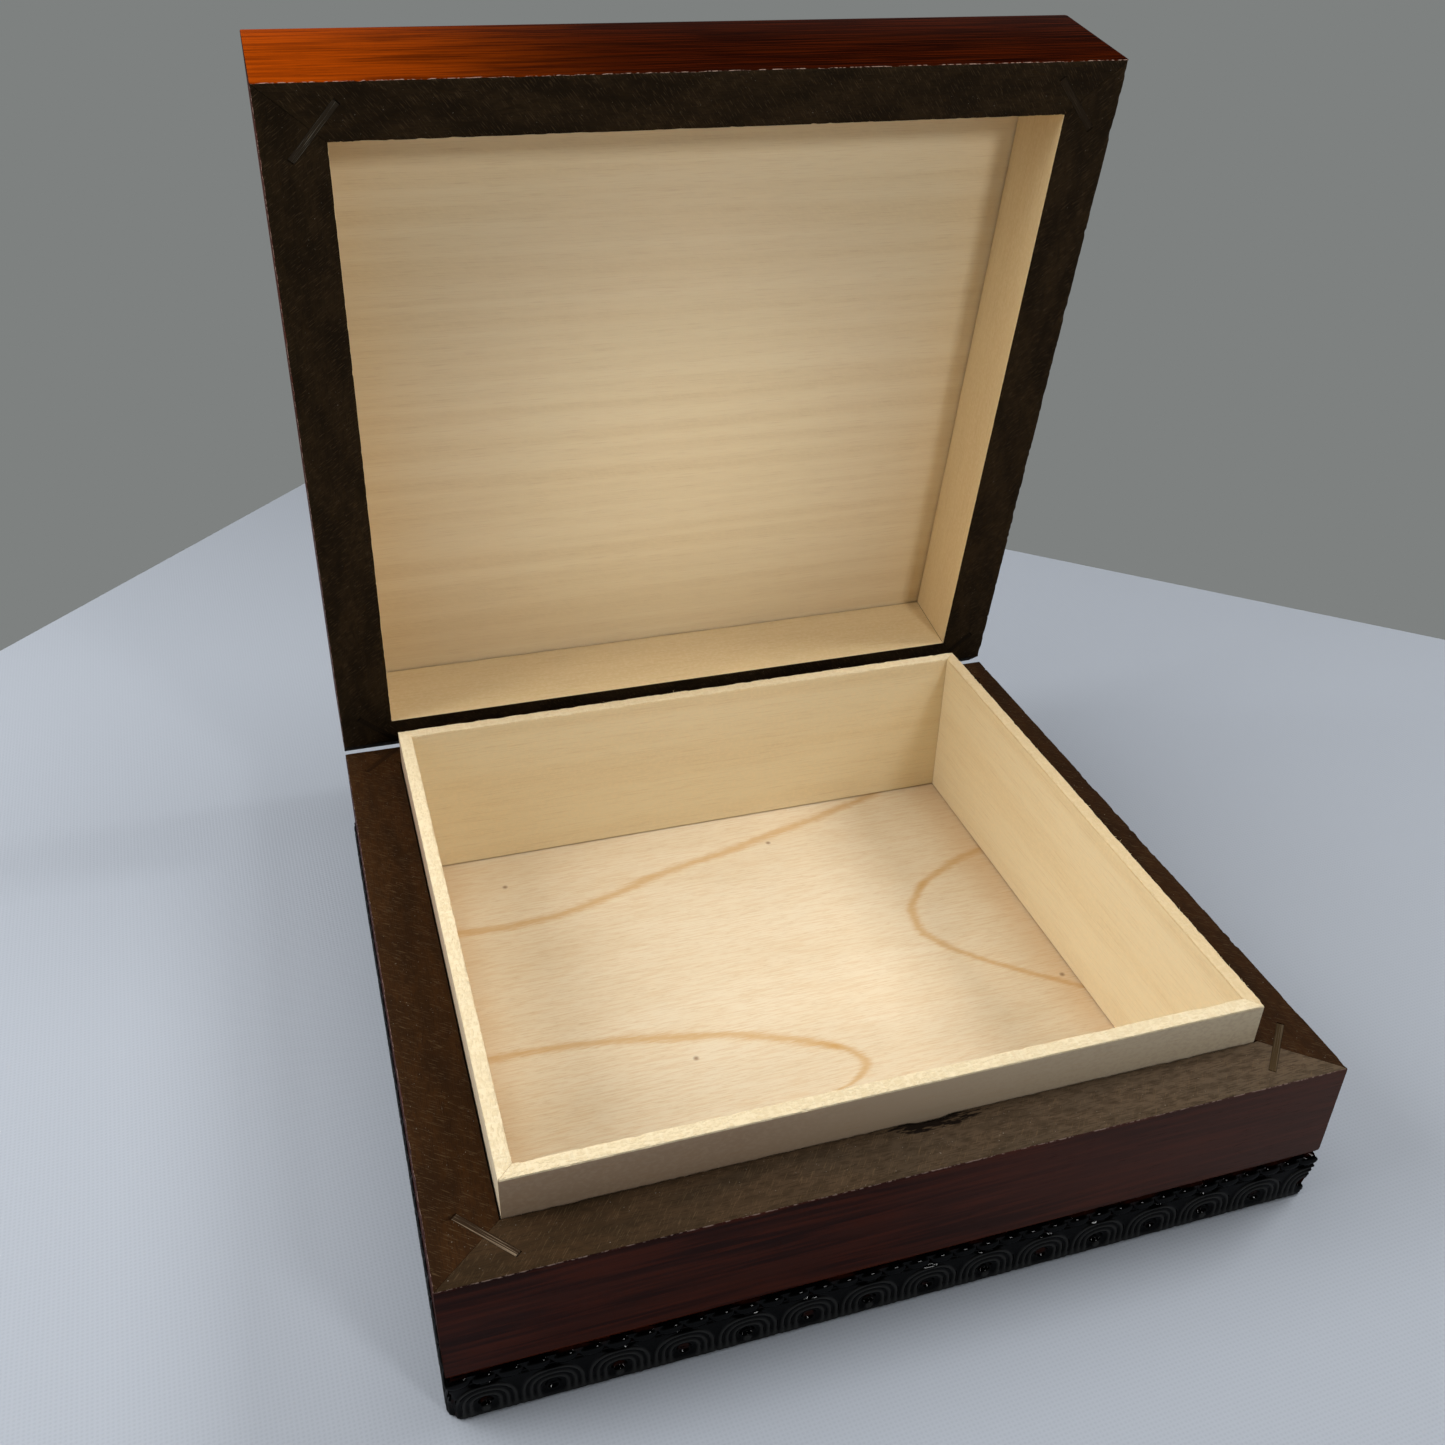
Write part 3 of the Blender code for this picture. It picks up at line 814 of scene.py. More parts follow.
class LiningSlot(IntEnum):
    """Material number of each surface of a lining board."""

    FACE = 0
    TOP = 1
    OUTER = 2


def welded_copy(node: str, seat: Matrix) -> bmesh.types.BMesh:
    """Copy a CAD node's mesh into a seat's own axes, with its split corners joined.

    Args:
        node: Name of the CAD node.
        seat: Place of the axes in the world.

    Returns:
        The copied mesh, which the caller frees.
    """
    shape = bmesh.new()
    shape.from_mesh(bpy.data.objects[node].data)
    bmesh.ops.remove_doubles(shape, verts=shape.verts, dist=WELD)
    bmesh.ops.transform(shape, matrix=seat.inverted(), verts=shape.verts)
    return shape


def points_of(node: str, seat: Matrix) -> np.ndarray:
    """Give a CAD node's corners in a seat's own axes.

    Args:
        node: Name of the CAD node.
        seat: Place of the axes in the world.

    Returns:
        The corners, one to a row.
    """
    shape = welded_copy(node, seat)
    points = np.array([vertex.co for vertex in shape.verts])
    shape.free()
    return points


def cut_edges(shape: bmesh.types.BMesh, place: Vector, outward: Vector, clear: bool) -> list:
    """Cut a mesh with a plane.

    Args:
        shape: Mesh to cut.
        place: Point of the plane.
        outward: Direction across the plane.
        clear: Whether what lies outward of the plane goes.

    Returns:
        The edges in the plane.
    """
    cut = bmesh.ops.bisect_plane(shape, geom=shape.verts[:] + shape.edges[:] + shape.faces[:],
                                 plane_co=place, plane_no=outward, clear_outer=clear)["geom_cut"]
    return [item for item in cut if isinstance(item, bmesh.types.BMEdge)]


def add_object(name: str, data: bpy.types.ID) -> bpy.types.Object:
    """Add an object to the scene.

    Args:
        name: Name of the object.
        data: Its mesh, lamp or camera.

    Returns:
        The new object.
    """
    item = bpy.data.objects.new(name, data)
    bpy.context.scene.collection.objects.link(item)
    return item


def mesh_of(name: str, shape: bmesh.types.BMesh) -> bpy.types.Mesh:
    """Turn a working mesh into a named one.

    Args:
        name: Name of the new mesh.
        shape: Working mesh, freed here.

    Returns:
        The new mesh.
    """
    mesh = bpy.data.meshes.new(name)
    shape.normal_update()
    shape.to_mesh(mesh)
    shape.free()
    return mesh


def add_piece(name: str, shape: bmesh.types.BMesh, seat: Matrix, body: str, finishes: Iterable[Finish],
              replaces: Iterable[str] = (), sharp: float = SHARP) -> bpy.types.Object:
    """Add a piece of the box to the scene and hang it on its body.

    Args:
        name: Name of the piece.
        shape: Mesh in the piece's own axes, freed here.
        seat: Place of those axes in the world.
        body: CAD body that the piece moves with.
        finishes: Finish of each material number of the mesh.
        replaces: CAD nodes that the piece stands for.
        sharp: Angle between faces, in degrees, from which an edge stays sharp.

    Returns:
        The new object.
    """
    mesh = mesh_of(name, shape)
    mesh.shade_smooth()
    mesh.set_sharp_from_angle(angle=math.radians(sharp))
    piece = add_object(name, mesh)
    piece.matrix_world = seat
    finishes = list(finishes)
    for finish in finishes:
        mesh.materials.append(material_of(finish))
    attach(piece, body)
    if replaces:
        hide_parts(*replaces)
    return piece


def cut_away(piece: bpy.types.Object, cutters: Iterable[bmesh.types.BMesh]) -> None:
    """Cut shapes out of a piece.

    Args:
        piece: Piece to cut.
        cutters: Closed meshes in the piece's axes, freed here.
    """
    for number, shape in enumerate(cutters):
        name = f"{piece.name}_cutter_{number}"
        mesh = mesh_of(name, shape)
        cutter = add_object(name, mesh)
        cutter.matrix_world = piece.matrix_world
        modifier = piece.modifiers.new("cut", "BOOLEAN")
        modifier.object = cutter
        modifier.solver = "EXACT"
        modifier.material_mode = "TRANSFER"
        bpy.context.view_layer.update()
        depsgraph = bpy.context.evaluated_depsgraph_get()
        result = bpy.data.meshes.new_from_object(piece.evaluated_get(depsgraph))
        piece.modifiers.clear()
        used = piece.data
        result.name = used.name
        piece.data = result
        bpy.data.meshes.remove(used)
        bpy.data.objects.remove(cutter)
        bpy.data.meshes.remove(mesh)


@dataclass
class Bite:
    """A chip out of an edge: its middle along the board, half its length and its depth."""

    place: float
    half: float
    depth: float


@dataclass
class Edge:
    """One worn edge of a board's section.

    Attributes:
        corner: Corner of the section, as (in from the outer face, up).
        deepest: Depth of the deepest random chip.
        bites_per_metre: Number of random chips to a metre.
        extra: Given chips.
        half_spread: Shape and scale of the random chips' gamma-spread half lengths.
        least_half: Half length added to each of those.
        depth_spread: Shapes of their beta-spread depths.
        roughness: Roughness of the whole edge, as a share of the deepest chip.
    """

    corner: tuple[float, float]
    deepest: float
    bites_per_metre: float
    extra: tuple[Bite, ...] = ()
    half_spread: tuple[float, float] = (2.0, 0.45 * MM)
    least_half: float = 0.25 * MM
    depth_spread: tuple[float, float] = (1.2, 3.0)
    roughness: float = 0.12

    def bitten(self, stations: np.ndarray, rng: np.random.Generator) -> np.ndarray:
        """Give how deep the edge is chipped at each place along it.

        Args:
            stations: Places along the board.
            rng: Source of the chips' places and sizes.

        Returns:
            Depth at each place, in metres.
        """
        half = stations[-1]
        count = round(self.bites_per_metre * 2 * half)
        chips = [Bite(place, reach, depth) for place, reach, depth in zip(
            rng.uniform(-half, half, count), rng.gamma(*self.half_spread, count) + self.least_half,
            self.deepest * rng.beta(*self.depth_spread, count))]
        depth = np.zeros(len(stations))
        for chip in (*chips, *self.extra):
            away = np.abs(stations - chip.place) / chip.half
            depth = np.maximum(depth, chip.depth * np.clip(1 - away ** 2, 0, 1))
        return depth + rng.uniform(0, self.roughness, len(stations)) * self.deepest


@dataclass
class Board:
    """One mitred board, measured from its CAD node in a plan's axes.

    Attributes:
        node: Name of the CAD node.
        side: Side of the box that the board stands on.
        plan: Place of the plan's axes in the world.
        easing: Width of an eased edge.
        easing_share: Most of the shorter face beside an edge that the easing takes.
        guard: Distance of the first guard line from an eased edge, in easings.
        guard_share: Most of the shorter face beside an edge that this distance takes.
        second_guard: Distance of the second guard line, in distances of the first.
        wear_reach: Distance from a corner of the section within which a worn edge is its own.
        flat: Angle in degrees from which two faces of the section need no eased edge.
        station: Distance between two sections.
        gap: How far each end reaches into its glue line.
        seat: Place of the board's own axes in the world.
        slopes: Shift of each mitre along the board, for each metre in from its outer face.
    """

    node: str
    side: Side
    plan: Matrix
    easing: float = 0.25 * MM
    easing_share: float = 0.15
    guard: float = 3.2
    guard_share: float = 0.25
    second_guard: float = 1.8
    wear_reach: float = 0.6 * MM
    flat: float = 150.0
    station: float = 0.5 * MM
    gap: float = 0.09 * MM
    seat: Matrix = field(init=False)
    length: float = field(init=False)
    thickness: float = field(init=False)
    foot: float = field(init=False)
    head: float = field(init=False)
    slopes: tuple[float, float] = field(init=False)

    def __post_init__(self) -> None:
        """Measure the node and set the board's own axes on its outer face."""
        turned = self.plan @ self.side.turn
        points = points_of(self.node, turned)
        low, high = points.min(0), points.max(0)
        self.seat = turned @ Matrix.Translation(((low[0] + high[0]) / 2, low[1], 0))
        self.length, self.thickness, _ = high - low
        self.foot, self.head = low[2], high[2]
        outer = points[points[:, 1] < low[1] + ON_PLANE][:, 0]
        inner = points[points[:, 1] > high[1] - ON_PLANE][:, 0]
        self.slopes = ((inner.min() - outer.min()) / self.thickness,
                       (outer.max() - inner.max()) / self.thickness)

    def section(self) -> list[Vector]:
        """Slice the CAD board at its middle.

        Returns:
            The corners of its section in order, as (in from the outer face, up).
        """
        shape = welded_copy(self.node, self.seat)
        ways: dict[bmesh.types.BMVert, list[bmesh.types.BMVert]] = {}
        for edge in cut_edges(shape, Vector((0, 0, 0)), Vector((1, 0, 0)), clear=False):
            first, second = edge.verts
            ways.setdefault(first, []).append(second)
            ways.setdefault(second, []).append(first)
        start = next(iter(ways))
        walk = [start, ways[start][0]]
        while walk[-1] is not start:
            here = ways[walk[-1]]
            walk.append(here[0] if here[1] is walk[-2] else here[1])
        loop = [Vector((vertex.co.y, vertex.co.z)) for vertex in walk[:-1]]
        shape.free()
        corners = [here for before, here, after in zip(loop[-1:] + loop, loop, loop[1:] + loop[:1])
                   if (here - before).angle(after - here) > math.radians(3)]
        area = sum(here.cross(after) for here, after in zip(corners, corners[1:] + corners[:1]))
        return corners if area > 0 else corners[::-1]

    def sweep(self, stations: np.ndarray, loops: np.ndarray, slots: Iterable[int]) -> bmesh.types.BMesh:
        """Run a changing section along the board and end it on both mitres.

        Args:
            stations: Places along the board, before its ends are slid to the mitres.
            loops: Section at each station, as an array of (in, up) points.
            slots: Material number of each strip between two points of the section.

        Returns:
            The closed mesh.
        """
        margin = 1.5 * self.thickness * max(1.0, *self.slopes)
        half = stations[-1]
        past = np.clip((np.abs(stations) - (half - margin)) / margin, 0, 1)[:, None]
        slopes = np.where(stations < 0, self.slopes[0], self.slopes[1])[:, None]
        along = stations[:, None] - np.sign(stations)[:, None] * past * slopes * loops[:, :, 0]
        shape = bmesh.new()
        rings = [[shape.verts.new((x, u, v)) for x, (u, v) in zip(row, loop)]
                 for row, loop in zip(along, loops)]
        slots = list(slots)
        for ring, following in zip(rings, rings[1:]):
            for number, slot in enumerate(slots):
                onward = (number + 1) % len(slots)
                face = shape.faces.new((ring[number], ring[onward], following[onward], following[number]))
                face.material_index = slot
        shape.faces.new(rings[0][::-1])
        shape.faces.new(rings[-1])
        bmesh.ops.recalc_face_normals(shape, faces=shape.faces)
        return shape

    def stations(self, spacing: float) -> np.ndarray:
        """Give evenly spaced places along the board, from one end to the other."""
        half = self.length / 2 + self.gap
        return np.linspace(-half, half, 2 * round(half / spacing) + 1)

    def worn(self, edges: Iterable[Edge], slot_of: Callable[[Vector, Vector], int],
             seed: int) -> bmesh.types.BMesh:
        """Sweep the board's own section with eased edges and chips along them.

        Args:
            edges: Edges that are more worn than the rest.
            slot_of: Gives a strip's material number from its middle and its outward direction.
            seed: Seed of the chips.

        Returns:
            The closed mesh, in the board's axes.
        """
        rng = np.random.default_rng(seed)
        stations = self.stations(self.station)
        unmoved = np.zeros((len(stations), 2))
        corners = self.section()
        points: list[Vector] = []
        shifts: list[np.ndarray] = []
        for number, corner in enumerate(corners):
            before = corners[number - 1] - corner
            after = corners[(number + 1) % len(corners)] - corner
            if after.cross(before) <= 0 or before.angle(after) > math.radians(self.flat):
                points.append(corner)
                shifts.append(unmoved)
                continue
            near = [edge for edge in edges if (corner - Vector(edge.corner)).length < self.wear_reach]
            depth = near[0].bitten(stations, rng) if near else np.zeros(len(stations))
            back, onward = before.normalized(), after.normalized()
            shorter = min(before.length, after.length)
            ease = min(self.easing, self.easing_share * shorter)
            guard = min(self.guard * self.easing, self.guard_share * shorter)
            first = corner + back * ease
            last = corner + onward * ease
            points += [corner + back * self.second_guard * guard, corner + back * guard, first,
                       (first + last + 2 * corner) / 4, last,
                       corner + onward * guard, corner + onward * self.second_guard * guard]
            moved = depth[:, None] * np.array((back + onward).normalized())
            shifts += [unmoved, unmoved, moved, moved, moved, unmoved, unmoved]
        loops = np.array(points)[None] + np.stack(shifts, 1)
        slots = []
        for point, onward in zip(points, points[1:] + points[:1]):
            run = onward - point
            slots.append(slot_of((point + onward) / 2, Vector((run.y, -run.x)).normalized()))
        return self.sweep(stations, loops, slots)


def spline_seat(node: str, plan: Matrix) -> Matrix:
    """Give the axes of a spline, with X along it.

    Args:
        node: Name of the spline's CAD node.
        plan: Place of the plan's axes in the world.

    Returns:
        Place of the spline's own axes in the world.
    """
    points = points_of(node, plan)
    middle = (points.min(0) + points.max(0)) / 2
    foot = points[points[:, 2] < points[:, 2].min() + ON_PLANE][:, :2]
    run = max(((a - b) for a in foot for b in foot), key=lambda step: float(step @ step))
    offset = foot - foot.mean(0)
    spread = np.linalg.eigh(offset.T @ offset)[1][:, -1]
    if spread @ run < 0:
        spread = -spread
    turn = Matrix.Rotation(math.atan2(spread[1], spread[0]), 4, "Z")
    return plan @ Matrix.Translation((middle[0], middle[1], 0)) @ turn


def adopt(node: str, seat: Matrix, body: str, finishes: Iterable[Finish], easing: float,
          slot_of: Callable[[bmesh.types.BMFace], int] = lambda face: 0) -> None:
    """Rebuild a CAD node in its own axes, with eased edges.

    Args:
        node: Name of the CAD node.
        seat: Place of the piece's axes in the world.
        body: CAD body that the piece moves with.
        finishes: Finish of each material number.
        easing: Width of the eased edges, in metres.
        slot_of: Gives a face's material number.
    """
    shape = welded_copy(node, seat)
    bmesh.ops.dissolve_limit(shape, angle_limit=math.radians(1), verts=shape.verts, edges=shape.edges)
    sharp = [edge for edge in shape.edges if edge.calc_face_angle(0) > math.radians(SHARP)]
    for face in shape.faces:
        face.material_index = slot_of(face)
    bmesh.ops.bevel(shape, geom=sharp, offset=easing, segments=2, profile=0.7, affect="EDGES",
                    clamp_overlap=True, material=-1)
    add_piece(f"{node}_piece", shape, seat, body, finishes, [node])


@dataclass
class Hinge:
    """One butt hinge: its CAD nodes keep their shape and get their brass."""

    name: str
    channel_radius: float = 1.5 * MM
    channel_end: float = 1.0 * MM
    edge: float = 0.06 * MM

    def channel(self, board: Board) -> bmesh.types.BMesh:
        """Make the round channel that the barrel lies in.

        Args:
            board: The measured board that it is cut from.

        Returns:
            The channel's closed shape, in the board's axes.
        """
        low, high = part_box(f"hinge_{self.name}_base_leaf")
        pin_low, pin_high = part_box(f"hinge_{self.name}_pin")
        middle = (pin_low + pin_high) / 2
        length = high.x - low.x + 2 * self.channel_end
        place = board.seat.inverted() @ Matrix.Translation(middle) @ Matrix.Rotation(math.pi / 2, 4, "Y")
        shape = bmesh.new()
        bmesh.ops.create_cone(shape, cap_ends=True, segments=48, radius1=self.channel_radius,
                              radius2=self.channel_radius, depth=length, matrix=place)
        return shape

    def dress(self) -> None:
        """Give the leaves, pin and nails their brass and eased edges."""
        for piece in [item for item in bpy.data.objects if item.name.startswith(f"hinge_{self.name}_")]:
            piece.data.materials.clear()
            piece.data.materials.append(material_of(DulledBrass()))
            weld = piece.modifiers.new("weld", "WELD")
            weld.merge_threshold = WELD
            bevel = piece.modifiers.new("eased", "BEVEL")
            bevel.width = self.edge
            bevel.segments = 2
            bevel.limit_method = "ANGLE"
            bevel.angle_limit = math.radians(40)
        LOG.info("%s hinge dressed", self.name)


HINGES = (Hinge("left"), Hinge("right"))


@dataclass
class WallFrame:
    """Four mitred frame boards with their splines, those of the base or of the lid.

    Attributes:
        body: CAD body that they move with, which also begins their names.
        plan: Place of the plan's axes in the world.
        rim_up: Whether the rim is the boards' head rather than their foot.
        rim_tones: Tone and dark of each board's rim.
        seed: Seed of the chips.
        panel_edge: Height of the lacquered edge beside the lid's panel.
    """

    body: str
    plan: Matrix
    rim_up: bool
    rim_tones: Mapping[Side, tuple[str, str]]
    seed: int
    edge_chip: float = 0.30 * MM
    edge_chips_per_metre: float = 420
    spline_end_gap: float = 0.25 * MM
    spline_side_gap: float = 0.04 * MM
    panel_edge: float = 11 * MM

    def build(self) -> None:
        """Build the four boards and their splines."""
        boards = {side: Board(f"{self.body}_{side.label}_wall", side, self.plan) for side in Side}
        bevel = self.bevel_plane(boards[Side.BACK])
        for side, board in boards.items():
            self.build_wall(side, board, bevel)
        for row, column, node in self.splines():
            adopt(node, spline_seat(node, self.plan), self.body, [self.spline_finish(row, column)],
                  easing=0.08 * MM)
        LOG.info("%s: four boards and four splines", self.body)

    def splines(self) -> Iterator[tuple[Side, Side, str]]:
        """Go through the splines by row, column and name of the CAD node."""
        for row in (Side.FRONT, Side.BACK):
            for column in (Side.LEFT, Side.RIGHT):
                yield row, column, f"{self.body}_spline_{row.label}_{column.label}"

    def rim_height(self, board: Board) -> float:
        """Height of the rim in a board's axes."""
        return board.head if self.rim_up else board.foot

    def bevel_plane(self, back: Board) -> tuple[Vector, Vector]:
        """Find the bevel that the hinges lie on.

        Args:
            back: The rear board.

        Returns:
            A point of the bevel and its outward direction, in the world.
        """
        corners = back.section()
        rim = self.rim_height(back)
        for corner, onward in zip(corners, corners[1:] + corners[:1]):
            run = onward - corner
            slanted = min(abs(run.x), abs(run.y)) > 1 * MM
            if slanted and max(abs(corner.y - rim), abs(onward.y - rim)) < back.thickness:
                start, outward = corner, Vector((0, run.y, -run.x)).normalized()
        return back.seat @ Vector((0, *start)), (back.seat.to_3x3() @ outward).normalized()

    def finishes(self, side: Side, board: Board) -> list[Finish]:
        """Choose a board's finishes.

        Args:
            side: Side of the box.
            board: The measured board.

        Returns:
            The finishes, in the order of WallSlot.
        """
        rim = self.rim_height(board) / MM
        name = f"lacquered_mahogany_{self.body}"
        tone, dark = self.rim_tones[side]
        # On the base's front board the torn spot is real, but the paler rim end and the greyish lacquer end
        # are painted light.
        worn = side is Side.FRONT and self.rim_up
        if worn:
            lacquer = DulledMahogany(name=f"{name}_front", rim=rim)
        elif side is Side.FRONT:
            lacquer = SapwoodMahogany(rim=rim, length=board.length / MM)
        else:
            lacquer = LacqueredMahogany(name=name, rim=rim)
        stain = SandedStain(name=f"sanded_stain_{self.body}_{side.label}", tone=tone, dark=dark, worn=worn)
        return [stain, lacquer, SandedLimewood(name="bare_inner_face", tone="#E8CFA0")]

    def build_wall(self, side: Side, board: Board, bevel: tuple[Vector, Vector]) -> None:
        """Build one board.

        Args:
            side: Side of the box.
            board: The measured board.
            bevel: A point of the rear bevel and its outward direction, in the world.
        """
        rim = self.rim_height(board)
        up = 1 if self.rim_up else -1

        def slot_of(middle: Vector, outward: Vector) -> int:
            """Choose rim, lacquer or bare wood for a strip of the section."""
            slanted = side is Side.BACK and outward.x < -0.2 and outward.y * up > 0.2
            if outward.y * up > 0.8 and abs(middle.y - rim) < 0.5 * MM or slanted and middle.x > 0.5 * MM:
                return WallSlot.RIM
            beside_panel = middle.y > board.head - self.panel_edge
            if outward.x < -0.3 or not self.rim_up and beside_panel:
                return WallSlot.LACQUER
            return WallSlot.RIM if self.rim_up else WallSlot.BARE

        torn = (Bite(4.7 * MM, 4 * MM, 0.55 * MM),) if side is Side.FRONT and self.rim_up else ()
        worn_edges = [
            Edge((0, rim), self.edge_chip, self.edge_chips_per_metre),
            Edge((board.thickness, rim), 0.7 * self.edge_chip, self.edge_chips_per_metre, torn),
        ]
        shape = board.worn(worn_edges, slot_of, self.seed * 10 + side.value)
        if side in (Side.LEFT, Side.RIGHT):
            self.cut_bevel(shape, board, bevel)
        piece = add_piece(f"{board.node}_board", shape, board.seat, self.body,
                          self.finishes(side, board), [board.node])
        cut_away(piece, self.groove_cutters(side, board))

    def cut_bevel(self, shape: bmesh.types.BMesh, board: Board, bevel: tuple[Vector, Vector]) -> None:
        """Cut the rear bevel across the end of a side board.

        Args:
            shape: Mesh of the board, in its own axes.
            board: The measured board.
            bevel: A point of the bevel and its outward direction, in the world.
        """
        inverse = board.seat.inverted()
        outward = (inverse.to_3x3() @ bevel[1]).normalized()
        cut = cut_edges(shape, inverse @ bevel[0], outward, clear=True)
        edges = [edge for edge in cut if edge.is_boundary]
        for face in bmesh.ops.contextual_create(shape, geom=edges, mat_nr=0)["faces"]:
            face.smooth = False

    def groove_cutters(self, side: Side, board: Board) -> list[bmesh.types.BMesh]:
        """Make the shapes that cut a board's two spline grooves and, at the back, the hinge channels.

        Args:
            side: Side of the box.
            board: The measured board.

        Returns:
            The cutters, in the board's axes.
        """
        cutters = []
        for node in [node for row, column, node in self.splines() if side in (row, column)]:
            seat = spline_seat(node, self.plan)
            shape = welded_copy(node, seat)
            middle = sum(vertex.co.z for vertex in shape.verts) / len(shape.verts)
            for vertex in shape.verts:
                vertex.co.x += math.copysign(self.spline_end_gap, vertex.co.x)
                vertex.co.y += math.copysign(self.spline_side_gap, vertex.co.y)
                above = vertex.co.z > middle
                vertex.co.z += (1 if above else -1) * (2 * MM if above == self.rim_up else 0.3 * MM)
            bmesh.ops.transform(shape, matrix=board.seat.inverted() @ seat, verts=shape.verts)
            cutters.append(shape)
        if side is Side.BACK:
            cutters += [hinge.channel(board) for hinge in HINGES]
        return cutters

    def spline_finish(self, row: Side, column: Side) -> Finish:
        """Choose a spline's finish.

        Args:
            row: Front or back.
            column: Left or right.

        Returns:
            The finish.
        """
        if row is Side.BACK:
            line, tone = self.rim_tones[column]
        elif column is Side.RIGHT:
            tone, line = ("#40321F", "#5C4E3C") if self.rim_up else ("#2B2116", "#463B2C")
        else:
            tone, line = ("#33261A", "#8A7862") if self.rim_up else ("#322A20", "#7A7466")
        return StainedEndGrain(name=f"stained_end_grain_{self.body}_{row.label}_{column.label}",
                               tone=tone, line=line)


@dataclass
class Lining:
    """The four thin limewood boards that stand above the rim, with their sawn top edges.

    Attributes:
        top_depth: Height of the sawn wood under the top edge.
        fibre_spread: Most that a fibre reaches out of the outer face.
        outer_share: Share of the fibres at the outer edge.
        root_inset: Distance of a fibre's root from the board's face.
        root_depths: Least and most distance of a root from the top, in millimetres.
        lengths: Shape and scale of the gamma-spread lengths, in fibre lengths.
        leans: Mean and spread of a fibre's lean along the board, away from it and up.
        droop: Spread along the board, and means away from it and up, of a tip's curl.
        curl: Share of its length by which a fibre curls.
        widths: Least and most width, in fibre widths.
    """

    top_depth: float = 0.3 * MM
    chip: float = 0.22 * MM
    chips_per_metre: float = 700
    fibres_per_metre: float = 520
    fibre_length: float = 0.70 * MM
    fibre_spread: float = 0.18 * MM
    fibre_width: float = 0.07 * MM
    outer_share: float = 0.6
    root_inset: float = 0.05 * MM
    root_depths: tuple[float, float] = (0.05, 0.35)
    lengths: tuple[float, float] = (2.2, 0.45)
    leans: tuple[tuple[float, float], ...] = ((0, 0.8), (0.5, 0.3), (0.35, 0.35))
    droop: tuple[float, float, float] = (0.4, 0.2, -0.3)
    curl: float = 0.4
    widths: tuple[float, float] = (0.6, 1.3)
    seed: int = 40

    def build(self) -> None:
        """Build the four boards and the fibres along their top edges."""
        # The lining's outer faces take a darker, greyer copy of the limewood.
        darker_outer = SandedLimewood(name="soiled_limewood", tone="#B0967C", banded="#927A62",
                                flecked="#BCA58C", cleaner="#DCCDB0")
        # Painted shade: the right board's top edge gets a darker copy of the sawn wood, so it renders no
        # lighter than its inner face.
        shaded_sawn = SawnLimewood(name="sawn_limewood_amber", tone="#DEC69C", cut="#E6D4B0")
        for side in Side:
            board = Board(f"liner_{side.label}", side, Matrix.Identity(4), easing=0.12 * MM,
                          station=0.35 * MM)
            finishes = [SandedLimewood(name="sanded_limewood_lining"),
                        shaded_sawn if side is Side.RIGHT else SawnLimewood(), darker_outer]

            def slot_of(middle: Vector, outward: Vector, head: float = board.head) -> int:
                """Choose sawn wood for the top edge, and the darker wood for the outer face."""
                if middle.y > head - self.top_depth:
                    return LiningSlot.TOP
                return LiningSlot.OUTER if outward.x < -0.5 else LiningSlot.FACE

            worn_edges = [Edge((place, board.head), self.chip, self.chips_per_metre)
                          for place in (0, board.thickness)]
            shape = board.worn(worn_edges, slot_of, self.seed + side.value)
            add_piece(f"{board.node}_board", shape, board.seat, "base", finishes, [board.node])
            self.build_fibres(board, side)
        LOG.info("lining: four boards with sawn fibres")

    def build_fibres(self, board: Board, side: Side) -> None:
        """Stand torn fibres along both top edges of a board.

        Args:
            board: The measured board.
            side: Side of the box.
        """
        rng = np.random.default_rng(self.seed + 10 + side.value)
        half = board.length / 2 - board.thickness
        shape = bmesh.new()
        for _ in range(round(self.fibres_per_metre * 2 * half)):
            outer = rng.random() < self.outer_share
            root = Vector((rng.uniform(-half, half),
                           self.root_inset if outer else board.thickness - self.root_inset,
                           board.head - rng.uniform(*self.root_depths) * MM))
            away = -1 if outer else 1
            length = self.fibre_length * float(rng.gamma(*self.lengths))
            along, out, up = (rng.normal(*lean) for lean in self.leans)
            reach = Vector((along, away * abs(out), up)).normalized() * length
            if outer:
                reach.y = max(reach.y, -self.fibre_spread)
            spread, out, up = self.droop
            droop = Vector((rng.normal(0, spread), away * out, up)) * length * self.curl
            add_fibre(shape, root, reach, droop, self.fibre_width * rng.uniform(*self.widths))
        add_piece(f"{board.node}_fibres", shape, board.seat, "base", [SawnLimewood()])


def add_fibre(shape: bmesh.types.BMesh, root: Vector, reach: Vector, droop: Vector, width: float) -> None:
    """Add one torn wood fibre, a thin three-sided spike that curls a little.

    Args:
        shape: Mesh that takes the fibre.
        root: Point on the wood that it grows from.
        reach: Way from root to tip before it curls.
        droop: How far the tip curls away.
        width: Thickness at the root.
    """
    side = reach.orthogonal().normalized()
    rings = []
    for share in (0.0, 0.5):
        centre = root + reach * share + droop * share ** 2
        rings.append([shape.verts.new(centre + Matrix.Rotation(math.tau * corner / 3, 3, reach) @ side
                                      * width * (1 - 0.7 * share) / 2) for corner in range(3)])
    tip = shape.verts.new(root + reach + droop)
    shape.faces.new(rings[0][::-1])
    for corner in range(3):
        onward = (corner + 1) % 3
        shape.faces.new((rings[0][corner], rings[0][onward], rings[1][onward], rings[1][corner]))
        shape.faces.new((rings[1][corner], rings[1][onward], tip))


def eased(share: np.ndarray) -> np.ndarray:
    """Hold shares between 0 and 1 and let them leave both ends gently."""
    share = np.clip(share, 0, 1)
    return share * share * (3 - 2 * share)


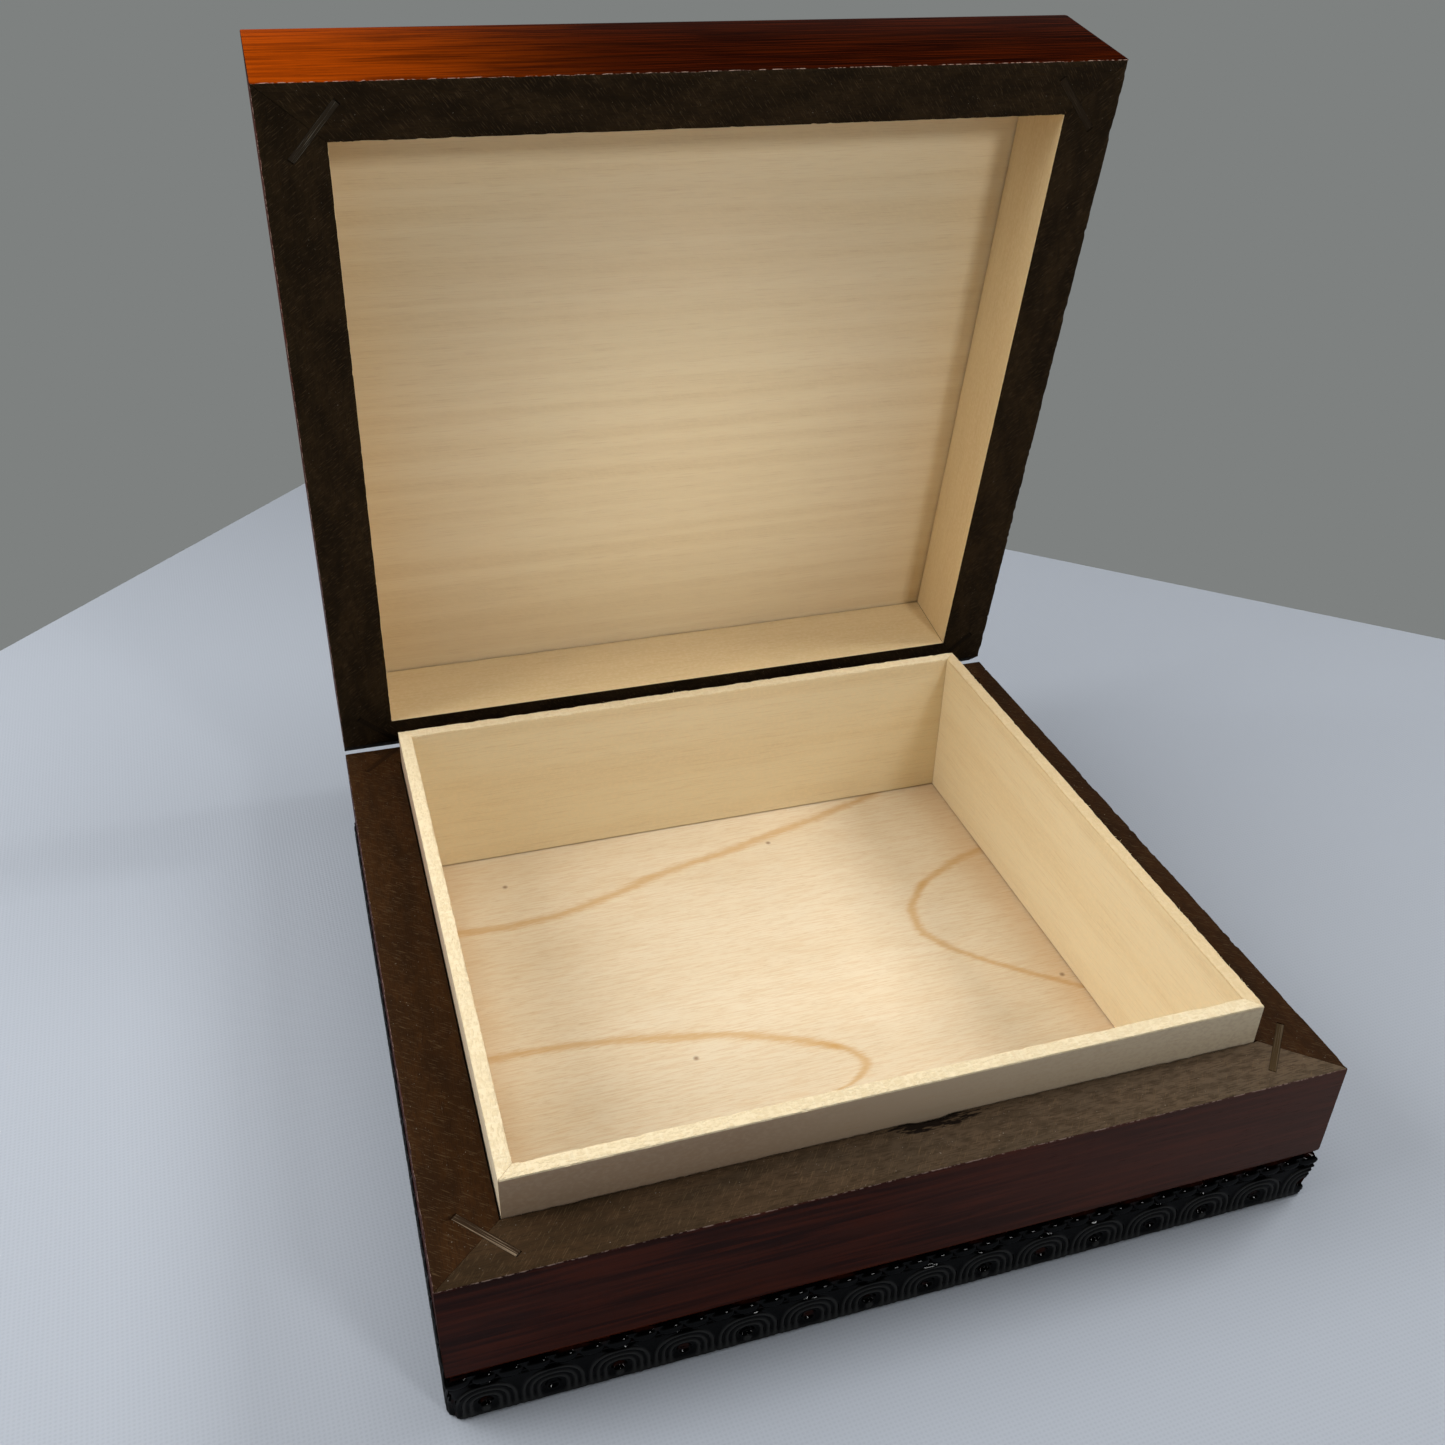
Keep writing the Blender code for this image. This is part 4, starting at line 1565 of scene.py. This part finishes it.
@dataclass
class CarvedMoulding:
    """The carved strip round the foot: bays of nested arches under a row of small beads.

    Every second bay holds a round bead at its foot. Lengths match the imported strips: crests lie in
    their outermost plane and the pattern has their bays.

    Attributes:
        leg_share: Share of the height below an arch's centre that counts, so its legs are steep.
        foot_relief: Share of the relief that is left at the foot.
        crest_share: Share of the relief by which a ridge stands out.
        hollow: Half width, half height and depth of the hollow.
        hollow_end: Squared distance from the hollow's middle, in half sizes, where it ends.
        bead: Radius and height of the bead at the foot.
        bead_base: Depth of that bead's edge below the arches' ground.
        row_halves: Half widths of a small bead in one pitch.
        row_blend: Height over which the row takes over from the arches.
        row_inset: Depth of the small beads' crests.
        notch_from: Share of half a bay from which the foot is cut up.
        deepest_share: Deepest carving, as a share of the strip's thickness.
    """

    bay: float = 11.3 * MM
    shift: float = -8.8 * MM
    centre_up: float = 3.0 * MM
    arch_height_share: float = 0.88
    arch_roundness: float = 2.3
    ridges: tuple[float, ...] = (5.0 * MM, 3.75 * MM, 2.5 * MM)
    ridge_width: float = 0.86 * MM
    relief: float = 0.44 * MM
    fade_up: float = 2.2 * MM
    hollow: tuple[float, float, float] = (1.3 * MM, 1.1 * MM, 0.55 * MM)
    bead: tuple[float, float] = (1.05 * MM, 1.5 * MM)
    bead_relief: float = 0.75 * MM
    row_up: float = 8.95 * MM
    row_foot: float = 7.7 * MM
    row_pitch: float = 4.52 * MM
    row_height: float = 2.3 * MM
    row_relief: float = 0.75 * MM
    row_roundness: float = 2.2
    leg_share: float = 0.4
    foot_relief: float = 0.1
    crest_share: float = 0.95
    hollow_end: float = 1.35
    bead_base: float = 0.25 * MM
    row_halves: float = 2.05
    row_blend: float = 0.4 * MM
    row_inset: float = 0.05 * MM
    notch_from: float = 0.72
    deepest_share: float = 0.8
    foot_round: float = 0.55 * MM
    scallop: float = 0.20 * MM
    end_round: float = 1.2 * MM
    spacing: float = 0.18 * MM

    def build(self) -> None:
        """Build the four strips."""
        for side in Side:
            wall = Board(f"base_{side.label}_wall", side, Matrix.Identity(4))
            strip = Board(f"moulding_{side.label}", side, Matrix.Identity(4))
            proud = (wall.seat.inverted() @ strip.seat).translation.y
            strip.seat = wall.seat @ Matrix.Translation((0, proud, 0))
            strip.slopes = wall.slopes
            strip.length = wall.length - proud * sum(wall.slopes)
            stations = strip.stations(self.spacing)
            rows = np.linspace(strip.foot, strip.head, round(strip.head / self.spacing) + 1)
            along, up = np.meshgrid(stations, rows, indexing="ij")
            depth = self.depth(along, up) + self.drawn_in(along, up, stations[-1])
            lifted = up + self.foot_notch(along) * np.clip(1 - up / self.foot_round, 0, 1) ** 2
            face = np.stack((np.clip(depth, 0, self.deepest_share * strip.thickness), lifted), 2)
            back = [np.full((len(stations), 1, 2), (strip.thickness, end))
                    for end in (strip.foot, strip.head)]
            loops = np.concatenate((*back, face[:, ::-1]), 1)
            shape = strip.sweep(stations, loops, [0] * loops.shape[1])
            add_piece(f"{strip.node}_carving", shape, strip.seat, "base",
                      [BlackLacquer()], [strip.node], sharp=80)
        LOG.info("moulding: four carved strips")

    def bay_place(self, along: np.ndarray) -> tuple[np.ndarray, np.ndarray]:
        """Give each place's bay number and its distance from that bay's middle."""
        number = np.round((along - self.shift) / self.bay)
        return number, along - self.shift - number * self.bay

    def foot_notch(self, along: np.ndarray) -> np.ndarray:
        """Give how far the foot is cut up between two arches, at places along the strip."""
        away = np.abs(self.bay_place(along)[1]) / (self.bay / 2)
        return self.scallop * np.clip((away - self.notch_from) / (1 - self.notch_from), 0, 1) ** 2

    def drawn_in(self, along: np.ndarray, up: np.ndarray, half: float) -> np.ndarray:
        """Give how far the face is drawn in at its rounded foot and at the mitred ends.

        Args:
            along: Places along the strip.
            up: Heights above its foot.
            half: Half the strip's length.

        Returns:
            Depths in metres, of the same shape.
        """
        low = np.clip(1 - up / self.foot_round, 0, 1)
        foot = 0.8 * self.foot_round * (1 - np.sqrt(1 - (0.98 * low) ** 2))
        near = np.clip(1 - (half - np.abs(along)) / (3 * self.end_round), 0, 1)
        return foot + self.end_round * near ** 3 * np.clip(1.2 - up / self.row_foot, 0, 1)

    def depth(self, along: np.ndarray, up: np.ndarray) -> np.ndarray:
        """Give how far in from its outermost plane the strip's carved face lies.

        Args:
            along: Places along the strip.
            up: Heights above its foot.

        Returns:
            Depths in metres, of the same shape.
        """
        number, across = self.bay_place(along)
        away = np.abs(across)
        share = np.where(up > self.centre_up, 1 / self.arch_height_share, self.leg_share)
        rise = np.abs(up - self.centre_up) * share
        power = self.arch_roundness
        radius = (away ** power + rise ** power) ** (1 / power)
        crest = sum(np.exp(-((radius - ridge) / (0.5 * self.ridge_width)) ** 2) for ridge in self.ridges)
        faded = self.foot_relief + (1 - self.foot_relief) * np.clip(up / self.fade_up, 0, 1)
        depth = self.relief * faded * (1 - self.crest_share * np.clip(crest, 0, 1))
        wide, tall, deep = self.hollow
        apart = (away / wide) ** 2 + ((up - self.centre_up) / tall) ** 2
        depth = depth + deep * eased(self.hollow_end - apart)
        radius_of_bead, bead_up = self.bead
        dome = np.clip(1 - (away ** 2 + (up - bead_up) ** 2) / radius_of_bead ** 2, 0, 1)
        raised = self.relief + self.bead_base - self.bead_relief * np.sqrt(dome)
        depth = np.where((number % 2 == 0) & (dome > 0), np.minimum(depth, raised), depth)
        return self.with_row(along, up, depth)

    def with_row(self, along: np.ndarray, up: np.ndarray, depth: np.ndarray) -> np.ndarray:
        """Lay the row of small beads over the top of the carved face.

        Args:
            along: Places along the strip.
            up: Heights above its foot.
            depth: Depth of the arches under the beads.

        Returns:
            Depths in metres, of the same shape.
        """
        place = ((along - self.shift) / self.row_pitch + 0.5) % 1 - 0.5
        rise = np.abs((up - self.row_up) / (self.row_height / 2))
        spread = np.abs(self.row_halves * place) ** self.row_roundness + rise ** self.row_roundness
        dome = np.sqrt(np.clip(1 - spread, 0, 1))
        band = eased((up - self.row_foot) / self.row_blend)
        return depth * (1 - band) + (self.row_relief * (1 - dome) + self.row_inset) * band


@dataclass
class Panels:
    """The base's plywood floor and the lid's panel."""

    lid_plan: Matrix
    floor_top: float = 3.2
    floor_lines: tuple[GrowthLine, ...] = (
        GrowthLine(((-64, 38), (-44, 37.5), (-13, 46), (14, 52.5), (51, 63.5))),
        GrowthLine(((47, 24.5), (57, 30), (67, 33.5))),
        GrowthLine(((68, -18.5), (56, -9), (43, 4), (40, 11), (47, 24.5)), lying=True),
        GrowthLine(((-63, -3.5), (-34, -6), (-3, -14.5), (7.5, -19.5))),
        GrowthLine(((4, -31.5), (9, -29.5), (12, -25.5), (7.5, -19.5)), lying=True),
    )
    floor_flecks: tuple[tuple[float, float], ...] = (
        (-50.3, 51.5), (16.5, 50.8), (-21.9, -15.1), (64.8, -13.4), (-11.8, -39.4))

    def build(self) -> None:
        """Build both panels."""
        flecks = tuple(Fleck(x, y, self.floor_top) for x, y in self.floor_flecks)
        birch = BirchPlywood(lines=self.floor_lines, flecks=flecks)
        adopt("floor_panel", Matrix.Identity(4), "base", [birch], easing=0.15 * MM)
        inside = SandedLimewood(name="sanded_lid_board", slot="lid_board", tone="#F0DDB8", band=3.6,
                                band_share=0.3)
        outside = LacqueredMahogany(name="lacquered_mahogany_top")
        adopt("lid_panel", self.lid_plan, "lid", [inside, outside], easing=0.15 * MM,
              slot_of=lambda face: 0 if face.normal.z < -0.5 else 1)
        LOG.info("panels: floor and lid")


@dataclass
class Softbox:
    """A square lamp. Lacquer mirrors the small lamps alone, as its highlights are small points."""

    name: str
    place: tuple[float, float, float]
    target: tuple[float, float, float]
    size: float
    watts: float
    mirrored: bool = False
    spread: float = 180

    def build(self) -> None:
        """Hang the lamp."""
        lamp = bpy.data.lights.new(self.name, "AREA")
        lamp.size = self.size
        lamp.energy = self.watts
        lamp.spread = math.radians(self.spread)
        holder = add_object(self.name, lamp)
        holder.visible_glossy = self.mirrored
        holder.location = self.place
        aim = Vector(self.target) - Vector(self.place)
        holder.rotation_euler = aim.to_track_quat("-Z", "Y").to_euler()


@dataclass
class Studio:
    """The light tent: cloth floor, grey surroundings, lamps and the camera.

    Attributes:
        eye: Place of the camera.
        forward: Direction that it looks in.
        upward: Direction of its picture's top.
        focal_share: Focal length, as a share of the sensor's width.
        corner: Corner of the floor behind the box.
        corner_turn: Turn of the floor, in degrees.
        overhead: Share of the surroundings' light that comes from above.
    """

    eye: tuple[float, float, float] = (-84.98 * MM, -220.95 * MM, 224.70 * MM)
    forward: tuple[float, float, float] = (0.26097, 0.80055, -0.53945)
    upward: tuple[float, float, float] = (0.14421, 0.52022, 0.84177)
    sensor: float = 36.0
    focal_share: float = 1437.35 / 1445
    corner: tuple[float, float] = (-34.9 * MM, 369.6 * MM)
    corner_turn: float = 47.8
    floor_size: float = 1.2
    wall_tone: str = "#7E8180"
    overhead: float = 0.03
    lamps: tuple[Softbox, ...] = (
        Softbox("top_softbox", (0.0, 0.0, 0.60), (0.0, 0.0, 0.05), 0.40, 0.82),
        Softbox("left_softbox", (-0.44, 0.06, 0.36), (0.0, 0.0, 0.05), 0.36, 2.3),
        Softbox("back_softbox", (-0.34, 0.34, 0.46), (0.0, 0.0, 0.05), 0.40, 0.75),
        Softbox("right_lamp", (0.38, 0.0, 0.42), (0.0, 0.0, 0.05), 0.16, 1.38, mirrored=True),
        Softbox("front_lamp", (0.18, -0.50, 0.38), (0.0, 0.0, 0.05), 0.08, 0.8, mirrored=True),
        Softbox("lid_lamp", (0.0, -0.45, 0.26), (0.0, 0.09, 0.09), 0.04, 0.006, spread=14),
    )

    def build(self) -> None:
        """Lay the floor, hang the lamps and set the camera."""
        turn = Matrix.Rotation(math.radians(self.corner_turn), 3, "Z")
        shift = Vector((*self.corner, 0)) - turn @ Vector((self.floor_size / 2, self.floor_size / 2, 0))
        self.lay_cloth("cloth_floor", self.floor_size, (shift.x, shift.y, -0.1 * MM), PaleCloth())
        self.lay_cloth("tent_wall", 3 * self.floor_size, (0, 0, -2.1 * MM), TentWall(tone=self.wall_tone))
        for lamp in self.lamps:
            lamp.build()
        self.set_world()
        self.set_camera()
        bpy.context.scene.view_settings.view_transform = "Standard"
        LOG.info("studio: floor, %d lamps and camera", len(self.lamps))

    def lay_cloth(self, name: str, size: float, place: tuple[float, float, float], finish: Finish) -> None:
        """Lay one square cloth, turned as the floor is.

        Args:
            name: Name of the cloth.
            size: Length of its side.
            place: Place of its middle.
            finish: Its finish.
        """
        shape = bmesh.new()
        bmesh.ops.create_grid(shape, x_segments=8, y_segments=8, size=size / 2)
        ground = add_object(name, mesh_of(name, shape))
        ground.rotation_euler.z = math.radians(self.corner_turn)
        ground.location = place
        ground.data.materials.append(material_of(finish))

    def set_world(self) -> None:
        """Surround the box with the tent's grey, which darkens overhead."""
        world = bpy.data.worlds.new("tent")
        world.use_nodes = True
        wiring = Wiring(world.node_tree)
        upward = wiring.add("SeparateXYZ", links={0: wiring.add("TexCoord").outputs["Generated"]})
        share = wiring.add("MapRange", {"From Min": 0.42, "From Max": 0.20, "To Min": self.overhead},
                           {"Value": upward.outputs["Z"]}, interpolation_type="SMOOTHSTEP")
        sky = world.node_tree.nodes["Background"]
        sky.inputs["Color"].default_value = linear(self.wall_tone)
        world.node_tree.links.new(share.outputs["Result"], sky.inputs["Strength"])
        bpy.context.scene.world = world

    def set_camera(self) -> None:
        """Set the camera where the photograph was taken."""
        lens = bpy.data.cameras.new("photographer")
        lens.sensor_width = self.sensor
        lens.lens = self.sensor * self.focal_share
        lens.clip_start = 0.01
        camera = add_object("photographer", lens)
        back = -Vector(self.forward).normalized()
        across = Vector(self.upward).cross(back).normalized()
        camera.matrix_world = Matrix.Translation(self.eye) @ Matrix(
            (across, back.cross(across), back)).transposed().to_4x4()
        bpy.context.scene.camera = camera


def lid_plan_of(joint: Mapping) -> Matrix:
    """Give the axes of the lid's plan, as if shut, in the open lid.

    Args:
        joint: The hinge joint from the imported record.

    Returns:
        Place of those axes in the world.
    """
    axis = Vector(joint["pos_m"])
    opened = Matrix.Rotation(-math.radians(joint["range_deg"][1]), 4, "X")
    turned = Matrix.Translation(axis) @ opened @ Matrix.Translation((0, -axis.y, 0))
    front = bpy.data.objects["lid_front_wall"].data
    rim = min((turned.inverted() @ vertex.co).z for vertex in front.vertices)
    return turned @ Matrix.Translation((0, 0, rim))


def main() -> None:
    """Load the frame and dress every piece."""
    logging.basicConfig(level=logging.INFO, format="%(name)s: %(message)s")
    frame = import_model()
    lid_plan = lid_plan_of(frame["joints"][0])
    red_brown = ("#36210F", "#27180C")
    olive_brown = ("#3C2C1C", "#2A2014")
    olive_black = ("#302415", "#1E160C")
    base_tones = dict.fromkeys(Side, red_brown) | {Side.FRONT: olive_brown}
    WallFrame("base", Matrix.Identity(4), True, base_tones, seed=1).build()
    WallFrame("lid", lid_plan, False, dict.fromkeys(Side, olive_black), seed=2).build()
    Lining().build()
    CarvedMoulding().build()
    Panels(lid_plan).build()
    for hinge in HINGES:
        hinge.dress()
    Studio().build()
    bpy.context.view_layer.update()


if __name__ == "__main__":
    main()
